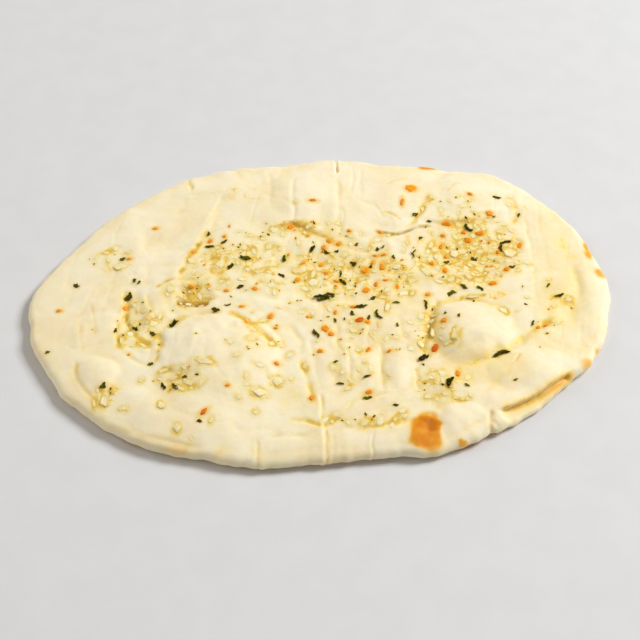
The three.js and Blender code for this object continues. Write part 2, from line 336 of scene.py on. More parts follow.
# %% Creases of this crust
CREASES = [  # stroke, depth, width, butter, how dark its line is
    ([(-80, 0), (-74, 6), (-70, 9)], 0.6, 0.8, 1.0, 0.5),              # the long fold on the left
    ([(-69, 9), (-66, 18), (-61, 32), (-57, 43)], 0.6, 1.0, 1.1, 0.5),
    ([(-57, 43), (-54, 56), (-48, 69)], 0.3, 1.5, 0.25, 0.06),
    ([(-70, 9), (-64, 7), (-60, 2), (-57, -6)], 0.5, 1.0, 0.8, 0.2),
    ([(-83, -2), (-82, -8), (-79, -13)], 0.5, 1.0, 0.4, 0.0),
    ([(-94, 1), (-92, -9), (-91, -17), (-89, -25)], 1.3, 1.1, 1.35, 0.45),
    ([(-89, -24), (-86, -28), (-82, -32), (-77, -34)], 0.8, 1.2, 0.9, 0.15),
    ([(-96, -18), (-95, -26), (-92, -38)], 1.0, 1.0, 0.85, 0.2),
    ([(-75, -26), (-74, -34), (-75, -46)], 0.8, 1.2, 1.0, 0.25),
    ([(-92, -37), (-84, -44), (-76, -46)], 0.4, 1.2, 0.35, 0.0),
    ([(-110, -5), (-107, -18), (-105, -29)], 0.3, 0.6, 0.3, 0.14),
    ([(-114, -19), (-112, -29), (-109, -39)], 0.25, 0.8, 0.3, 0.16),
    ([(-112, -42), (-112, -51), (-107, -59), (-102, -66)], 0.7, 1.0, 0.4, 0.15),
    ([(-75, -27), (-69, -20), (-60, -15), (-47, -14)], 1.0, 1.5, 0.3, 0.05),
    ([(-46, -14), (-36, -19), (-28, -26), (-20, -38)], 1.3, 1.5, 1.0, 0.2),
    ([(-69, -6), (-62, -8), (-53, -9)], 1.6, 1.3, 1.1, 0.7),
    ([(-63, 4), (-64, -2), (-62, -7)], 0.8, 1.3, 0.9, 0.4),
    ([(-69, -7), (-62, -9), (-53, -8.5)], 0.2, 3.4, 0.6, 1.5),         # pool at the large bubble: butter, and a dark line painted as shadow in the pocket
    ([(-78, -1), (-75, -5), (-73, -10)], 0.3, 2.0, 0.5, 0.0),
    ([(-74, -48), (-70, -50), (-65, -51)], 0.6, 1.4, 0.9, 0.3),
    ([(-99, -59), (-97, -65), (-94, -71)], 0.5, 1.0, 0.8, 0.35),
    ([(-101, -63), (-100, -70)], 0.4, 0.8, 0.8, 0.3),
    ([(-107, 28), (-101, 26)], 0.3, 1.5, 0.8, 0.1),
    ([(-54, 27), (-54, 13), (-50, 11), (-45, 13)], 0.4, 0.6, 0.8, 0.2),
    ([(-27, 17), (-25, 13), (-23, 10)], 0.4, 0.8, 0.8, 0.3),
    (FRONT_ROLL, 0.7, 0.9, 0.12, 0.08),
    ([(-27, -86), (-27, -106)], 0.7, 0.8, 0.15, 0.05),
    ([(-9, -40), (-7, -49), (-5, -60), (-2, -70)], 0.6, 1.3, 0.45, 0.0),
    ([(0, -62), (0, -70), (0, -78)], 0.6, 0.8, 0.3, 0.1),
    ([(-14, -77), (-8, -76), (-3, -79), (1, -81)], 0.6, 1.0, 0.75, 0.1),
    ([(1, -81), (5, -78), (9, -75)], 0.8, 1.0, 1.0, 0.25),
    ([(9, -75), (14, -68), (22, -64), (32, -63)], 0.5, 0.9, 0.25, 0.0),
    ([(2, -80), (2.5, -90), (2, -107)], 0.8, 0.8, 0.5, 0.15),
    ([(5, -83), (5, -95), (4, -107)], 0.4, 0.8, 0.1, 0.0),
    ([(14, -81), (24, -80), (34, -78), (41, -77), (49, -71)], 0.6, 1.4, 0.45, 0.08),
    ([(49, -71), (58, -67), (66, -68)], 0.5, 1.4, 0.35, 0.0),
    ([(23, -83), (23, -106)], 0.6, 0.7, 0.1, 0.05),
    ([(-24, -86), (-10, -85), (1, -83)], 0.4, 1.0, 0.15, 0.0),
    ([(8, -19), (8, -29), (9.5, -41)], 0.5, 1.1, 0.2, 0.0),            # between the pillows
    ([(22, -19), (22, -35)], 0.4, 1.1, 0.1, 0.0),
    ([(13, -38), (13, -58)], 0.4, 0.9, 0.15, 0.0),
    ([(28, -31), (28, -46), (28, -64)], 0.5, 0.9, 0.2, 0.05),
    ([(44, -46), (44, -63)], 0.5, 0.8, 0.1, 0.0),
    ([(-6, -30), (-1, -45)], 0.4, 1.3, 0.1, 0.0),
    ([(37, -14), (38, -24), (42, -35)], 0.5, 1.4, 0.15, 0.0),
    ([(59, -6), (54, -12), (51.5, -20), (50, -30)], 1.4, 1.5, 1.0, 0.4),  # left of the right bubble
    ([(50, -28), (47, -36), (50, -43)], 0.8, 1.4, 0.9, 0.3),
    ([(58, -7), (66, -5), (75, -6), (82, -11)], 0.9, 1.2, 0.7, 0.1),
    ([(66, -3.5), (74, -4), (80, -2)], 0.4, 0.8, 1.0, 0.3),
    ([(78, -9), (84, -10), (88, -14), (86, -18)], 0.3, 0.8, 0.7, 0.1),
    ([(62, -26), (61, -37)], 0.4, 0.9, 0.8, 0.15),
    ([(66, -27), (64, -39)], 0.3, 0.7, 0.6, 0.1),
    ([(64, -48), (75, -42), (84, -36), (95, -30), (104, -21), (111, -13)], 1.2, 2.4, 0.4, 0.0),
    ([(88, -46), (89.5, -43), (91, -40)], 0.6, 0.6, 0.5, 0.3),
    ([(105, 58), (104, 40), (104, 18), (103, -11)], 0.35, 0.8, 0.25, 0.06),
    ([(115, -22), (121, -8), (124, 5), (124, 22)], 1.1, 3.4, 0.1, 0.0),
    ([(100, 68), (100, 58), (98, 45)], 0.4, 1.5, 0.6, 0.1),
    ([(76, -69), (75.5, -76), (77, -92)], 1.7, 1.2, 0.4, 0.6),
    ([(88, -60), (99, -53), (111, -42)], 0.3, 2.4, 0.0, 0.0),
    ([(70, -64), (78, -58), (84, -52)], 0.3, 1.2, 0.2, 0.0),
    ([(8, 106), (8, 92), (8.5, 83)], 2.4, 0.7, 0.2, 0.0),              # the slit at the back
    ([(8.5, 84), (9, 66), (10, 50), (10, 35)], 0.5, 1.2, 0.15, 0.0),
    ([(17, 96), (17, 80), (16, 67)], 0.3, 0.9, 0.0, 0.0),
    ([(22, 96), (21, 80), (20, 65)], 0.3, 1.1, 0.0, 0.0),
    ([(-14, 84), (-14, 60), (-13, 46)], 0.3, 1.1, 0.0, 0.0),
    ([(-28, 90), (-26, 76), (-25, 66), (-27, 57)], 0.4, 1.3, 0.0, 0.0),
    ([(-70, 92), (-68, 77), (-66, 71)], 1.1, 0.8, 0.4, 0.15),
    ([(-72, 68), (-70, 59), (-74, 53)], 0.4, 1.8, 0.0, 0.0),
    ([(-70, 68), (-58, 68), (-50, 69)], 0.3, 1.6, 0.1, 0.0),
    ([(-40, 70), (-39, 64.5), (-29, 64)], 0.3, 0.6, 0.3, 0.0),
    ([(34, 76), (40, 80), (47, 81)], 0.35, 0.6, 0.4, 0.1),
    (PANE_SIDE, 0.7, 1.3, 0.7, 0.1),
    (MIDDLE_FOLD, 0.8, 0.6, 0.35, 0.7),
    ([(31, 54), (36, 54), (41, 49)], 0.35, 0.6, 0.5, 0.2),
    ([(65, 70), (70, 76), (74, 77)], 0.3, 0.6, 0.4, 0.1),
    ([(59, 48), (68, 47), (78, 48), (88, 52)], 0.6, 1.3, 0.35, 0.08),
    ([(-28, 38), (-23, 42), (-16, 46), (-8, 43), (0, 38), (9, 32)], 0.6, 1.2, 0.8, 0.3),
    ([(-16, 46), (-6, 44), (2, 46)], 0.4, 1.2, 0.6, 0.15),
    ([(9, 32), (16, 28), (24, 27), (34, 29)], 0.5, 1.2, 0.3, 0.08),
    ([(39, -79), (44, -76), (49, -72.5), (53, -77)], 0.7, 0.8, 0.2, 0.2),  # edge of the brown patch
    ([(-16, -20), (-10, -30), (-10, -41)], 0.5, 1.5, 0.2, 0.0),
]
print(len(CREASES), "creases")

# %% The rim's width and the creases' depth
RIM_ROUND = 4.6        # width of the rounded rim
RIM_UNEVEN = [(0.22, 7, 1), (0.13, 17, 4)]     # share of that width, waves round the rim, start
RIM_NARROW = 0.72      # share of its width that the rim loses along the lip
LIP_BEARINGS = (-44, -22)      # the lip lies between these bearings, in degrees


def rim_round_at(bearing):
    """The rim's width: uneven all round, and narrow where the lower layer shows."""
    (large, few, turned), (small, many, shifted) = RIM_UNEVEN
    uneven = 1 + large * np.sin(few * bearing + turned) + small * np.sin(many * bearing + shifted)
    width = RIM_ROUND * uneven
    first, last = np.radians(LIP_BEARINGS)
    within = smooth((bearing - first) / 0.08) * smooth((last - bearing) / 0.08)
    return width * (1 - RIM_NARROW * within)


def waver(x, y):
    """Shifts points a little, so that no stroke runs as straight as it was drawn."""
    wavy_x = x + 0.9 * swell(x, y, 8, 61) + 0.35 * swell(x, y, 3, 62)
    wavy_y = y + 0.9 * swell(x, y, 8, 63) + 0.35 * swell(x, y, 3, 64)
    return wavy_x, wavy_y


def crease_depth(x, y):
    """How deep the creases cut at each point."""
    depth_here = np.zeros_like(x)
    for points, depth, width, crease_butter, crease_line in CREASES:
        near, side, along = stroke(x, y, points, 4 * width)
        hold = fade_ends(along) * (0.8 + 0.5 * swell(x[near], y[near], 5, 65))
        bottom = np.exp(-((side / width) ** 2))
        banks = np.exp(-(((np.abs(side) - 2.4 * width) / width) ** 2))
        depth_here[near] += depth * (bottom - 0.1 * banks) * hold
    return depth_here


print("the rim is", rim_round_at(bearings).min().round(1), "to", rim_round_at(bearings).max().round(1),
      "mm wide")

# %% The height of the crust
RIM_TOP = 6.8          # height where the rounded rim begins
BODY_TOP = 9.3         # height of the crust in the middle, before its relief
RELIEF_LOST = 0.7      # share of the relief that the crust loses at its rim
SWELLS = [(0.7, 34, 3), (0.5, 15, 4), (0.26, 7, 5)]    # rise, distance between hills, seed
TOPPED = [((10, 8), 70, 46), ((-70, -10), 50, 44)]     # where the toppings make the crust bumpy
FLANK = ((116, 10), 26, 62)                            # where long swells run down the right side


def wrinkles(x, y, size, seed, turn):
    """Thin valleys from 0 to 1 that wander mostly along one direction."""
    lines = np.abs(swell(x, y, size, seed, stretch=3, turn=turn))
    return np.clip(1 - lines * 5, 0, 1) ** 1.5


def crust_height(x, y):
    """The height of the crust above the table at each point, in mm."""
    bearing = np.arctan2(y, x)
    share = np.clip(np.hypot(x, y) / (reach_at(bearing) - rim_round_at(bearing)), 0, 1)
    height = RIM_TOP + (BODY_TOP - RIM_TOP) * (1 - share**7)
    height += sum(rise * swell(x, y, size, seed) for rise, size, seed in SWELLS)
    topped = sum(blot(x, y, *patch) for patch in TOPPED)
    height += 0.34 * swell(x, y, 4.2, 10) * np.clip(topped, 0, 1)
    height += 0.4 * swell(x, y, 9, 12, stretch=3, turn=82) * blot(x, y, *FLANK)
    pulled = np.clip(0.5 + swell(x, y, 30, 7), 0, 1)
    height -= 0.24 * pulled * wrinkles(x, y, 8, 6, 80) + 0.2 * (1 - pulled) * wrinkles(x, y, 9, 8, 20)
    wavy_x, wavy_y = waver(x, y)
    relief = np.zeros_like(height)
    for middle, sides, rise, fullness in BUBBLES + HOLLOWS:
        relief += bubble(wavy_x, wavy_y, middle, sides, rise, fullness)
    for points, rise, spread, softness in FOLDS:
        near, side, along = stroke(wavy_x, wavy_y, points, 2.5 * spread)
        lift = smooth(side / softness / 2 + 0.5) * np.exp(-np.clip(side, 0, None) / spread)
        relief[near] += rise * lift * fade_ends(along, 0.3)
    relief -= crease_depth(wavy_x, wavy_y)
    height += relief * (1 - RELIEF_LOST * share**14)
    near, side, along = stroke(x, y, LIP_SEAM, 14)
    ends = fade_ends(along, LIP_FADE)
    drop = LIP_DROP * smooth(0.5 - side / LIP_STEP)
    height[near] -= drop * np.exp(np.clip(side, None, 0) / LIP_TAIL) * ends
    round_off = 1 - np.sqrt(1 - np.clip(1 - side / LIP_ROUND, 0, 1) ** 2)
    height[near] -= np.where(side > 0, LIP_BOW * round_off, 0) * ends
    return height


sample = crust_height(np.array([0.0, -50.0, 67.0]), np.array([0.0, -37.0, -24.0]))
print("crust height in mm in the middle and on the two bubbles:", sample.round(1))

# %% [markdown]
# ## The dough
#
# A sphere drawn out to this shape would have its points crowded in the middle and spread at the
# rim. A square grid pressed into the oval keeps them even, so a fine crease is just as sharp
# anywhere. The rim is the grid's border, extruded round and under in rows. Underneath, where
# there is little to see, a grid with squares four times as large closes the sole, and a bridge
# of faces joins the two borders.

# %% Press a square grid into the oval
CROWN_GRID = (320, 224)       # squares along and across the crust
SOLE_GRID = (80, 56)
RIM_ROWS = 10                 # rows from the crust, round the rim and under it
SOLE_INSET = 9.0              # the sole is flat this far inside the outline
SOLE_GAP = 2.5                # width of the ring of faces that joins the rim to the sole
CURVED_SHARE = 0.6            # share of the first of the two ways into the oval
CROWN, SOLE = 0, 100          # row numbers of the two grids


def press_into_oval(vertices, inset):
    """Moves a square grid's vertices into the oval, ending inset mm inside the outline, or
    where the rounded rim begins if inset is None. It mixes two ways: one bends the grid's lines,
    the other rounds each of its square rings. Either alone crushes some squares."""
    spot = np.array([v.co for v in vertices])
    u, v = spot[:, 0] / spot[:, 0].max(), spot[:, 1] / spot[:, 1].max()
    disc_x, disc_y = u * np.sqrt(1 - v**2 / 2), v * np.sqrt(1 - u**2 / 2)
    longest = np.maximum(np.abs(u), np.abs(v))
    squash = longest / np.maximum(np.hypot(u, v), 1e-9)
    disc_x = CURVED_SHARE * disc_x + (1 - CURVED_SHARE) * u * squash
    disc_y = CURVED_SHARE * disc_y + (1 - CURVED_SHARE) * v * squash
    bearing = np.arctan2(disc_y, disc_x)
    edge = reach_at(bearing) - (rim_round_at(bearing) if inset is None else inset)
    far = np.where(np.abs(longest - 1) < 1e-6, edge, np.hypot(disc_x, disc_y) * edge)
    for vertex, x, y in zip(vertices, far * np.cos(bearing), far * np.sin(bearing)):
        vertex.co = (x, y, 0)


dough = bmesh.new()
row_of = dough.verts.layers.int.new("row")
crown = bmesh.ops.create_grid(dough, x_segments=CROWN_GRID[0], y_segments=CROWN_GRID[1], size=1)["verts"]
press_into_oval(crown, None)
border = [edge for edge in dough.edges if edge.is_boundary]
for row in range(1, RIM_ROWS + 1):
    grown = bmesh.ops.extrude_edge_only(dough, edges=border)["geom"]
    for vertex in (g for g in grown if isinstance(g, bmesh.types.BMVert)):
        vertex[row_of] = row
    border = [g for g in grown if isinstance(g, bmesh.types.BMEdge) and g.is_boundary]
sole = bmesh.ops.create_grid(dough, x_segments=SOLE_GRID[0], y_segments=SOLE_GRID[1], size=1)["verts"]
press_into_oval(sole, SOLE_INSET + SOLE_GAP)
for vertex in sole:
    vertex[row_of] = SOLE
sole_faces = [face for face in dough.faces if face.verts[0][row_of] == SOLE]
bmesh.ops.reverse_faces(dough, faces=sole_faces)
sole_border = [e for e in dough.edges if e.is_boundary and e.verts[0][row_of] == SOLE]
print("squares:", len(dough.faces), "border edges:", len(border), "and", len(sole_border))

# %% Give the dough its height
WIDEST_SHARE = 0.46    # the rim is widest at this share of its height


def rim_profile(row, bearing, top):
    """Where a row of the rim lies: its distance from the middle, its height, and how much of
    it faces outward, from 0 on top to 1 at the widest and 0 below."""
    half = RIM_ROWS / 2
    middle = top * WIDEST_SHARE
    upper = row <= half
    angle = np.where(upper, row / half, (row - half) / half) * np.pi / 2
    sin, cos = np.sin(angle), np.cos(angle)
    out = np.where(upper, rim_round_at(bearing) * (sin - 1), SOLE_INSET * (cos - 1))
    height = np.where(upper, middle + (top - middle) * cos, middle * (1 - sin))
    return reach_at(bearing) + out, height, np.where(upper, sin, cos)


def shape_dough(bm):
    """Sets every vertex of the dough from its row and bearing. Works in mm."""
    vertices = list(bm.verts)
    spot = np.array([v.co for v in vertices])
    row = np.array([v[row_of] for v in vertices])
    bearing = np.arctan2(spot[:, 1], spot[:, 0])
    on_crown, on_rim, on_sole = row == CROWN, (row > CROWN) & (row < SOLE), row == SOLE
    spot[on_crown, 2] = crust_height(spot[on_crown, 0], spot[on_crown, 1])
    edge = reach_at(bearing[on_rim]) - rim_round_at(bearing[on_rim])
    cos, sin = np.cos(bearing[on_rim]), np.sin(bearing[on_rim])
    top = crust_height(edge * cos, edge * sin)
    out, height, outward = rim_profile(row[on_rim], bearing[on_rim], top)
    dent = crease_depth(*waver(out * cos, out * sin)) + 0.25 * swell(out * cos, out * sin, 9, 66)
    out -= dent * outward
    height -= np.where(row[on_rim] <= RIM_ROWS / 2, dent * (1 - outward) * 0.5, 0)
    spot[on_rim] = np.stack([out * cos, out * sin, height], axis=1)
    x, y = spot[on_sole, 0], spot[on_sole, 1]
    spot[on_sole, 2] = np.clip(0.5 * swell(x, y, 14, 21) + 0.25 * swell(x, y, 6, 22) - 0.1, 0, None)
    for vertex, place in zip(vertices, spot):
        vertex.co = place


shape_dough(dough)
bmesh.ops.bridge_loops(dough, edges=border + sole_border)
dough.normal_update()
open_edges = sum(1 for edge in dough.edges if not edge.is_manifold)
print("faces:", len(dough.faces), "open edges:", open_edges)

# %% [markdown]
# ## The lip
#
# At the front right the dough was folded over before it was baked: a fat roll overhangs a
# thinner layer. A height alone can't overhang, so the points beside the seam also slide
# sideways, the lower ones in under the roll and the upper ones out over the gap.

# %% Tuck the lower layer under the roll
TUCK_IN = 1.3          # how far the lower layer slides in under the roll, in mm
LEAN_OUT = 0.8         # how far the roll leans out over it


def tuck_under(bm):
    """Slides the vertices on each side of the seam towards and over each other."""
    vertices = [v for v in bm.verts if v[row_of] == CROWN]
    spot = np.array([v.co for v in vertices])
    near, side, along = stroke(spot[:, 0], spot[:, 1], LIP_SEAM, 6)
    ends = fade_ends(along, 0.2)
    inward = -TUCK_IN * smooth(1 - np.abs(side + 0.7) / 1.6) * ends
    outward = LEAN_OUT * smooth(1 - np.abs(side - 1.0) / 2.2) * ends
    run = np.array(LIP_SEAM[-1]) - np.array(LIP_SEAM[0])
    run = run / np.linalg.norm(run)
    across = np.array([run[1], -run[0]])
    slide = (inward + outward)[:, None] * across
    for index, (dx, dy) in zip(near, slide):
        vertices[index].co.x += dx
        vertices[index].co.y += dy


tuck_under(dough)
bmesh.ops.recalc_face_normals(dough, faces=dough.faces)
bmesh.ops.scale(dough, vec=(MM, MM, MM), verts=dough.verts)
for face in dough.faces:
    face.smooth = True
naan_mesh = bpy.data.meshes.new("naan")
dough.to_mesh(naan_mesh)
dough.free()
naan = bpy.data.objects.new("naan", naan_mesh)
scene.collection.objects.link(naan)
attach(naan, "root")
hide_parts("naan_bread")

naan_spots = np.array([v.co for v in naan_mesh.vertices])
naan_tree = BVHTree.FromObject(naan, bpy.context.evaluated_depsgraph_get())
print("naan in mm:", in_mm(naan_spots.min(0)), "to", in_mm(naan_spots.max(0)))

# %% [markdown]
# ## Laying things on the crust
#
# A topping needs to know how high the crust is beneath it and how the crust leans there. A ray
# dropped from above finds one point; the lean comes from a few rays round it, so a crumb beside
# a crease doesn't stand on edge. Each crumb is sunk a little, because butter glues it down.

# %% Find the crust
LOOK_FROM = 60 * MM        # height that the rays are dropped from
ROUND_ABOUT = ((1, 0), (0, 1), (-1, 0), (0, -1))


def crust_under(x, y):
    """The point of the crust below (x, y), in metres."""
    return naan_tree.ray_cast(Vector((x, y, LOOK_FROM)), Vector((0, 0, -1)))[0]


def seat(x, y, span, turn):
    """A matrix that puts a piece's own Z along the crust's normal at (x, y)."""
    middle = crust_under(x, y)
    step = max(span * 0.4, 1.2 * MM)
    sides = [crust_under(x + dx * step, y + dy * step) for dx, dy in ROUND_ABOUT]
    lean = (sides[0] - sides[2]).cross(sides[1] - sides[3]).normalized()
    rest = (middle * 2 + sides[0] + sides[1] + sides[2] + sides[3]) / 6
    turned = Vector((0, 0, 1)).rotation_difference(lean).to_matrix().to_4x4()
    return Matrix.Translation(rest) @ turned @ Matrix.Rotation(turn, 4, "Z")


print("crust in the middle, in mm:", in_mm(crust_under(0, 0)))

# %% [markdown]
# ## Shapes of the toppings
#
# Garlic is sliced before it is chopped, so a piece is a flat chip with a few straight sides. An
# extruded polygon with bevelled edges gives that, where a squashed sphere would look like a
# pebble. A chilli bit is made the same way, with more sides and a rounder edge. A herb flake is
# a thin sheet with a lobed edge, curled and given a thickness. All are made one unit long and
# scaled to their real size as they are laid. A chip's sides slope outward, because the butter
# that it stands in fills the corner.

# %% Garlic and chilli: flat chips and soft bits
def chip(rng, corners, uneven, top_share, rounding, segments):
    """A flat chip one unit long, wide and tall, as a new bmesh. top_share is how much smaller
    the top is than the foot."""
    bm = bmesh.new()
    foot = bmesh.ops.create_circle(bm, cap_ends=True, segments=corners, radius=0.5)["verts"]
    for corner in foot:
        corner.co *= 1 + rng.uniform(-uneven, uneven)
    bmesh.ops.rotate(bm, matrix=Matrix.Rotation(rng.uniform(0, math.pi), 3, "Z"), verts=foot)
    low = [min(v.co[axis] for v in foot) for axis in (0, 1)]
    high = [max(v.co[axis] for v in foot) for axis in (0, 1)]
    bmesh.ops.translate(bm, vec=(-(low[0] + high[0]) / 2, -(low[1] + high[1]) / 2, 0), verts=foot)
    bmesh.ops.scale(bm, vec=(1 / (high[0] - low[0]), 1 / (high[1] - low[1]), 1), verts=foot)
    raised = bmesh.ops.extrude_face_region(bm, geom=bm.faces[:], use_keep_orig=True)["geom"]
    top = [g for g in raised if isinstance(g, bmesh.types.BMVert)]
    bmesh.ops.scale(bm, vec=(top_share, top_share, 1), verts=top)
    lean = rng.uniform(-0.06, 0.06), rng.uniform(-0.06, 0.06)
    bmesh.ops.translate(bm, vec=(*lean, 1), verts=top)
    for corner in top:
        corner.co.z *= 1 + rng.uniform(-0.3, 0.3)
    rim = [edge for edge in bm.edges if all(v in top for v in edge.verts)]
    bmesh.ops.bevel(bm, geom=rim, offset=rounding, segments=segments, profile=0.5,
                    affect="EDGES", material=-1, clamp_overlap=True)
    bmesh.ops.triangulate(bm, faces=[face for face in bm.faces if len(face.verts) > 4])
    bmesh.ops.recalc_face_normals(bm, faces=bm.faces)
    return bm


trial = chip(random.Random(0), 5, 0.28, 0.72, 0.09, 3)
print("a chip with five sides has", len(trial.faces), "faces")
trial.free()

# %% Herb: lobed curled flakes
def leaf_flake(rng, columns, rows, slim, curl, bend, thickness):
    """A chopped bit of leaf one unit long, slim times as wide, as a new bmesh."""
    bm = bmesh.new()
    grid = bmesh.ops.create_grid(bm, x_segments=columns, y_segments=rows, size=1)["verts"]
    widest = max(v.co.x for v in grid)
    phase, waves = rng.uniform(0, 3.1), rng.uniform(1.5, 2.6)
    lean, twist = rng.uniform(-0.5, 0.5), rng.uniform(-0.8, 0.8)
    for v in grid:
        u, w = v.co.x / widest, v.co.y / widest
        lobe = 0.4 + 0.6 * abs(math.sin(waves * u + phase + (1.1 if w > 0 else 0)))
        half = slim / 2 * (1 - 0.95 * abs(u) ** 2.2) * lobe
        angle = bend * u
        out = w * half + lean * slim * abs(w) * half
        run = math.sin(angle) / bend if abs(bend) > 0.01 else u
        drop = (1 - math.cos(angle)) / bend if abs(bend) > 0.01 else 0
        v.co.x = 0.5 * run - out * math.sin(angle)
        v.co.y = 0.5 * drop + out * math.cos(angle)
        v.co.z = curl * (u * u + 0.7 * w * w) * 0.25 + twist * u * w * slim * 0.4 - 0.03 * (1 - abs(w))
    bmesh.ops.solidify(bm, geom=bm.faces[:], thickness=thickness)
    bmesh.ops.recalc_face_normals(bm, faces=bm.faces)
    return bm


trial = leaf_flake(random.Random(0), 12, 4, 0.6, 0.5, 0.5, 0.04)
print("a flake has", len(trial.faces), "faces")
trial.free()

# %% [markdown]
# ## Joining pieces
#
# A topping that the fixed model holds becomes an object of its own, with its name, place, size
# and turn read from that node. The crumbs number hundreds, so each kind is one object: a few
# models are made once, and each crumb is a copy of one of them, turned and scaled. Every point
# carries two values for the finishes: "soak", which is 1 low down where butter stands and 0 on
# top, and "tint", one random number for the whole piece.

# %% Copying models into one mesh
SOAK_REACH = 0.95    # share of a piece's thickness that butter creeps up


class Strewn:
    """Collects copies of small models into one mesh."""

    def __init__(self, name):
        self.name = name
        self.bm = bmesh.new()
        self.soak = self.bm.verts.layers.float.new("soak")
        self.tint = self.bm.verts.layers.float.new("tint")
        self.count = 0

    def add(self, model, place, size, tint, sink):
        """Adds a copy of a model bmesh at a seat matrix, with size = (length, width, thickness).
        sink is the share of its thickness that lies below the crust's surface."""
        copied = bpy.data.meshes.new("copy")
        model.to_mesh(copied)
        before = len(self.bm.verts)
        self.bm.from_mesh(copied)
        bpy.data.meshes.remove(copied)
        self.bm.verts.ensure_lookup_table()
        fresh = self.bm.verts[before:]
        heights = [v.co.z for v in fresh]
        lowest, tall = min(heights), max(max(heights) - min(heights), 1e-6)
        for v in fresh:
            v[self.soak] = max(0.0, 1 - (v.co.z - lowest) / tall / SOAK_REACH)
            v[self.tint] = tint
            raised = v.co.z - lowest - sink * tall
            v.co = place @ Vector((v.co.x * size[0], v.co.y * size[1], raised * size[2]))
        self.count += 1

    def finish(self, material, replaced=(), rounded=True):
        """Makes the object, and says what it rides on, replaces and is made of."""
        for face in self.bm.faces:
            face.smooth = rounded
        mesh = bpy.data.meshes.new(self.name)
        self.bm.to_mesh(mesh)
        self.bm.free()
        piece = bpy.data.objects.new(self.name, mesh)
        scene.collection.objects.link(piece)
        mesh.materials.append(material)
        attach(piece, "root")
        if replaced:
            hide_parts(*replaced)
        return piece


print("butter creeps up", SOAK_REACH, "of a piece's thickness")

# %% Read a node of the fixed model
def node_plan(node):
    """Where a node of the fixed model lies seen from above, in mm: its middle, length and
    width, and its turn."""
    spots = np.array([v.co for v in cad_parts[node].data.vertices])[:, :2]
    lowest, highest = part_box(node)
    middle = (lowest + highest) / 2
    spread = spots - spots.mean(0)
    values, ways = np.linalg.eigh(spread.T @ spread)
    long_way = ways[:, 1]
    length = np.ptp(spread @ long_way)
    width = np.ptp(spread @ ways[:, 0])
    turn = math.atan2(long_way[1], long_way[0])
    return middle.x / MM, middle.y / MM, length / MM, width / MM, turn


print("the largest herb flake, in mm:", [round(v, 1) for v in node_plan("herb_flake_01")[:4]])

# %% [markdown]
# ## Finishes
#
# Three things repeat in the finishes of this bread. A soft random mask breaks up every even
# colour, a dry colour turns golden and glossier where it takes up butter, and a fine grain
# roughens the skin. Each is a node group with named inputs, so dough, garlic, chilli and herb
# use the same three with values of their own. One big tree for each material would do the same,
# but a change would then have to be made four times. The groups give only colours, masks,
# roughness and heights. The shader stays in the material.

# %% Building node trees
def add_node(tree, kind, **settings):
    """Adds a node and sets its properties and inputs by name, with _ for a space."""
    node = tree.nodes.new(kind)
    for key, value in settings.items():
        if key in node.bl_rna.properties:
            setattr(node, key, value)
        else:
            node.inputs[key.replace("_", " ")].default_value = value
    return node


def new_group(name, inputs, outputs):
    """An empty node group. inputs and outputs are (name, socket kind, starting value)."""
    tree = bpy.data.node_groups.new(name, "ShaderNodeTree")
    for sockets, way in ((inputs, "INPUT"), (outputs, "OUTPUT")):
        for socket_name, kind, value in sockets:
            socket = tree.interface.new_socket(
                name=socket_name, in_out=way, socket_type="NodeSocket" + kind)
            if value is not None:
                socket.default_value = value
    return tree, tree.nodes.new("NodeGroupInput"), tree.nodes.new("NodeGroupOutput")


def use_group(tree, group, **values):
    """Adds a group node and sets its inputs by name."""
    node = tree.nodes.new("ShaderNodeGroup")
    node.node_tree = group
    for key, value in values.items():
        node.inputs[key.replace("_", " ")].default_value = value
    return node


print("helpers that add nodes and groups are ready")

# %% Sums, mixes and links
def math_node(tree, operation, first, second, clamp=False):
    """The output of a Math node. Each of its two inputs is a socket or a number."""
    node = tree.nodes.new("ShaderNodeMath")
    node.operation = operation
    node.use_clamp = clamp
    for socket, value in zip(node.inputs, (first, second)):
        if isinstance(value, (int, float)):
            socket.default_value = value
        else:
            tree.links.new(value, socket)
    return node.outputs[0]


def times(tree, first, second, clamp=False):
    """The output of a Math node that multiplies."""
    return math_node(tree, "MULTIPLY", first, second, clamp)


def plus(tree, first, second, clamp=False):
    """The output of a Math node that adds."""
    return math_node(tree, "ADD", first, second, clamp)


def mix_colours(tree, share, first, second):
    """The output of a colour mix. share is a socket or a number, and each colour is a socket or
    three numbers."""
    node = tree.nodes.new("ShaderNodeMix")
    node.data_type = "RGBA"
    sockets = node.inputs[0], node.inputs[6], node.inputs[7]
    for socket, value in zip(sockets, (share, first, second)):
        if isinstance(value, (int, float)):
            socket.default_value = value
        elif isinstance(value, tuple):
            socket.default_value = (*value, 1)
        else:
            tree.links.new(value, socket)
    return node.outputs[2]


def link_all(tree, source, target, names):
    """Links sockets of two nodes. names are pairs: the source's output and the target's input."""
    for out_name, in_name in names:
        tree.links.new(source.outputs[out_name], target.inputs[in_name])


print("helpers that join nodes are ready; groups so far:", len(bpy.data.node_groups))

# %% Group: drift, a soft random mask
drift, drift_in, drift_out = new_group(
    "drift", [("Vector", "Vector", None), ("Scale", "Float", 100.0), ("Detail", "Float", 2.0),
              ("Low", "Float", 0.3), ("High", "Float", 0.7)], [("Mask", "Float", None)])
drift_noise = drift.nodes.new("ShaderNodeTexNoise")
drift_range = drift.nodes.new("ShaderNodeMapRange")
drift_range.interpolation_type = "SMOOTHSTEP"
link_all(drift, drift_in, drift_noise, [("Vector", "Vector"), ("Scale", "Scale"), ("Detail", "Detail")])
link_all(drift, drift_noise, drift_range, [("Fac", "Value")])
link_all(drift, drift_in, drift_range, [("Low", "From Min"), ("High", "From Max")])
link_all(drift, drift_range, drift_out, [("Result", "Mask")])
print("drift has", len(drift.nodes), "nodes")

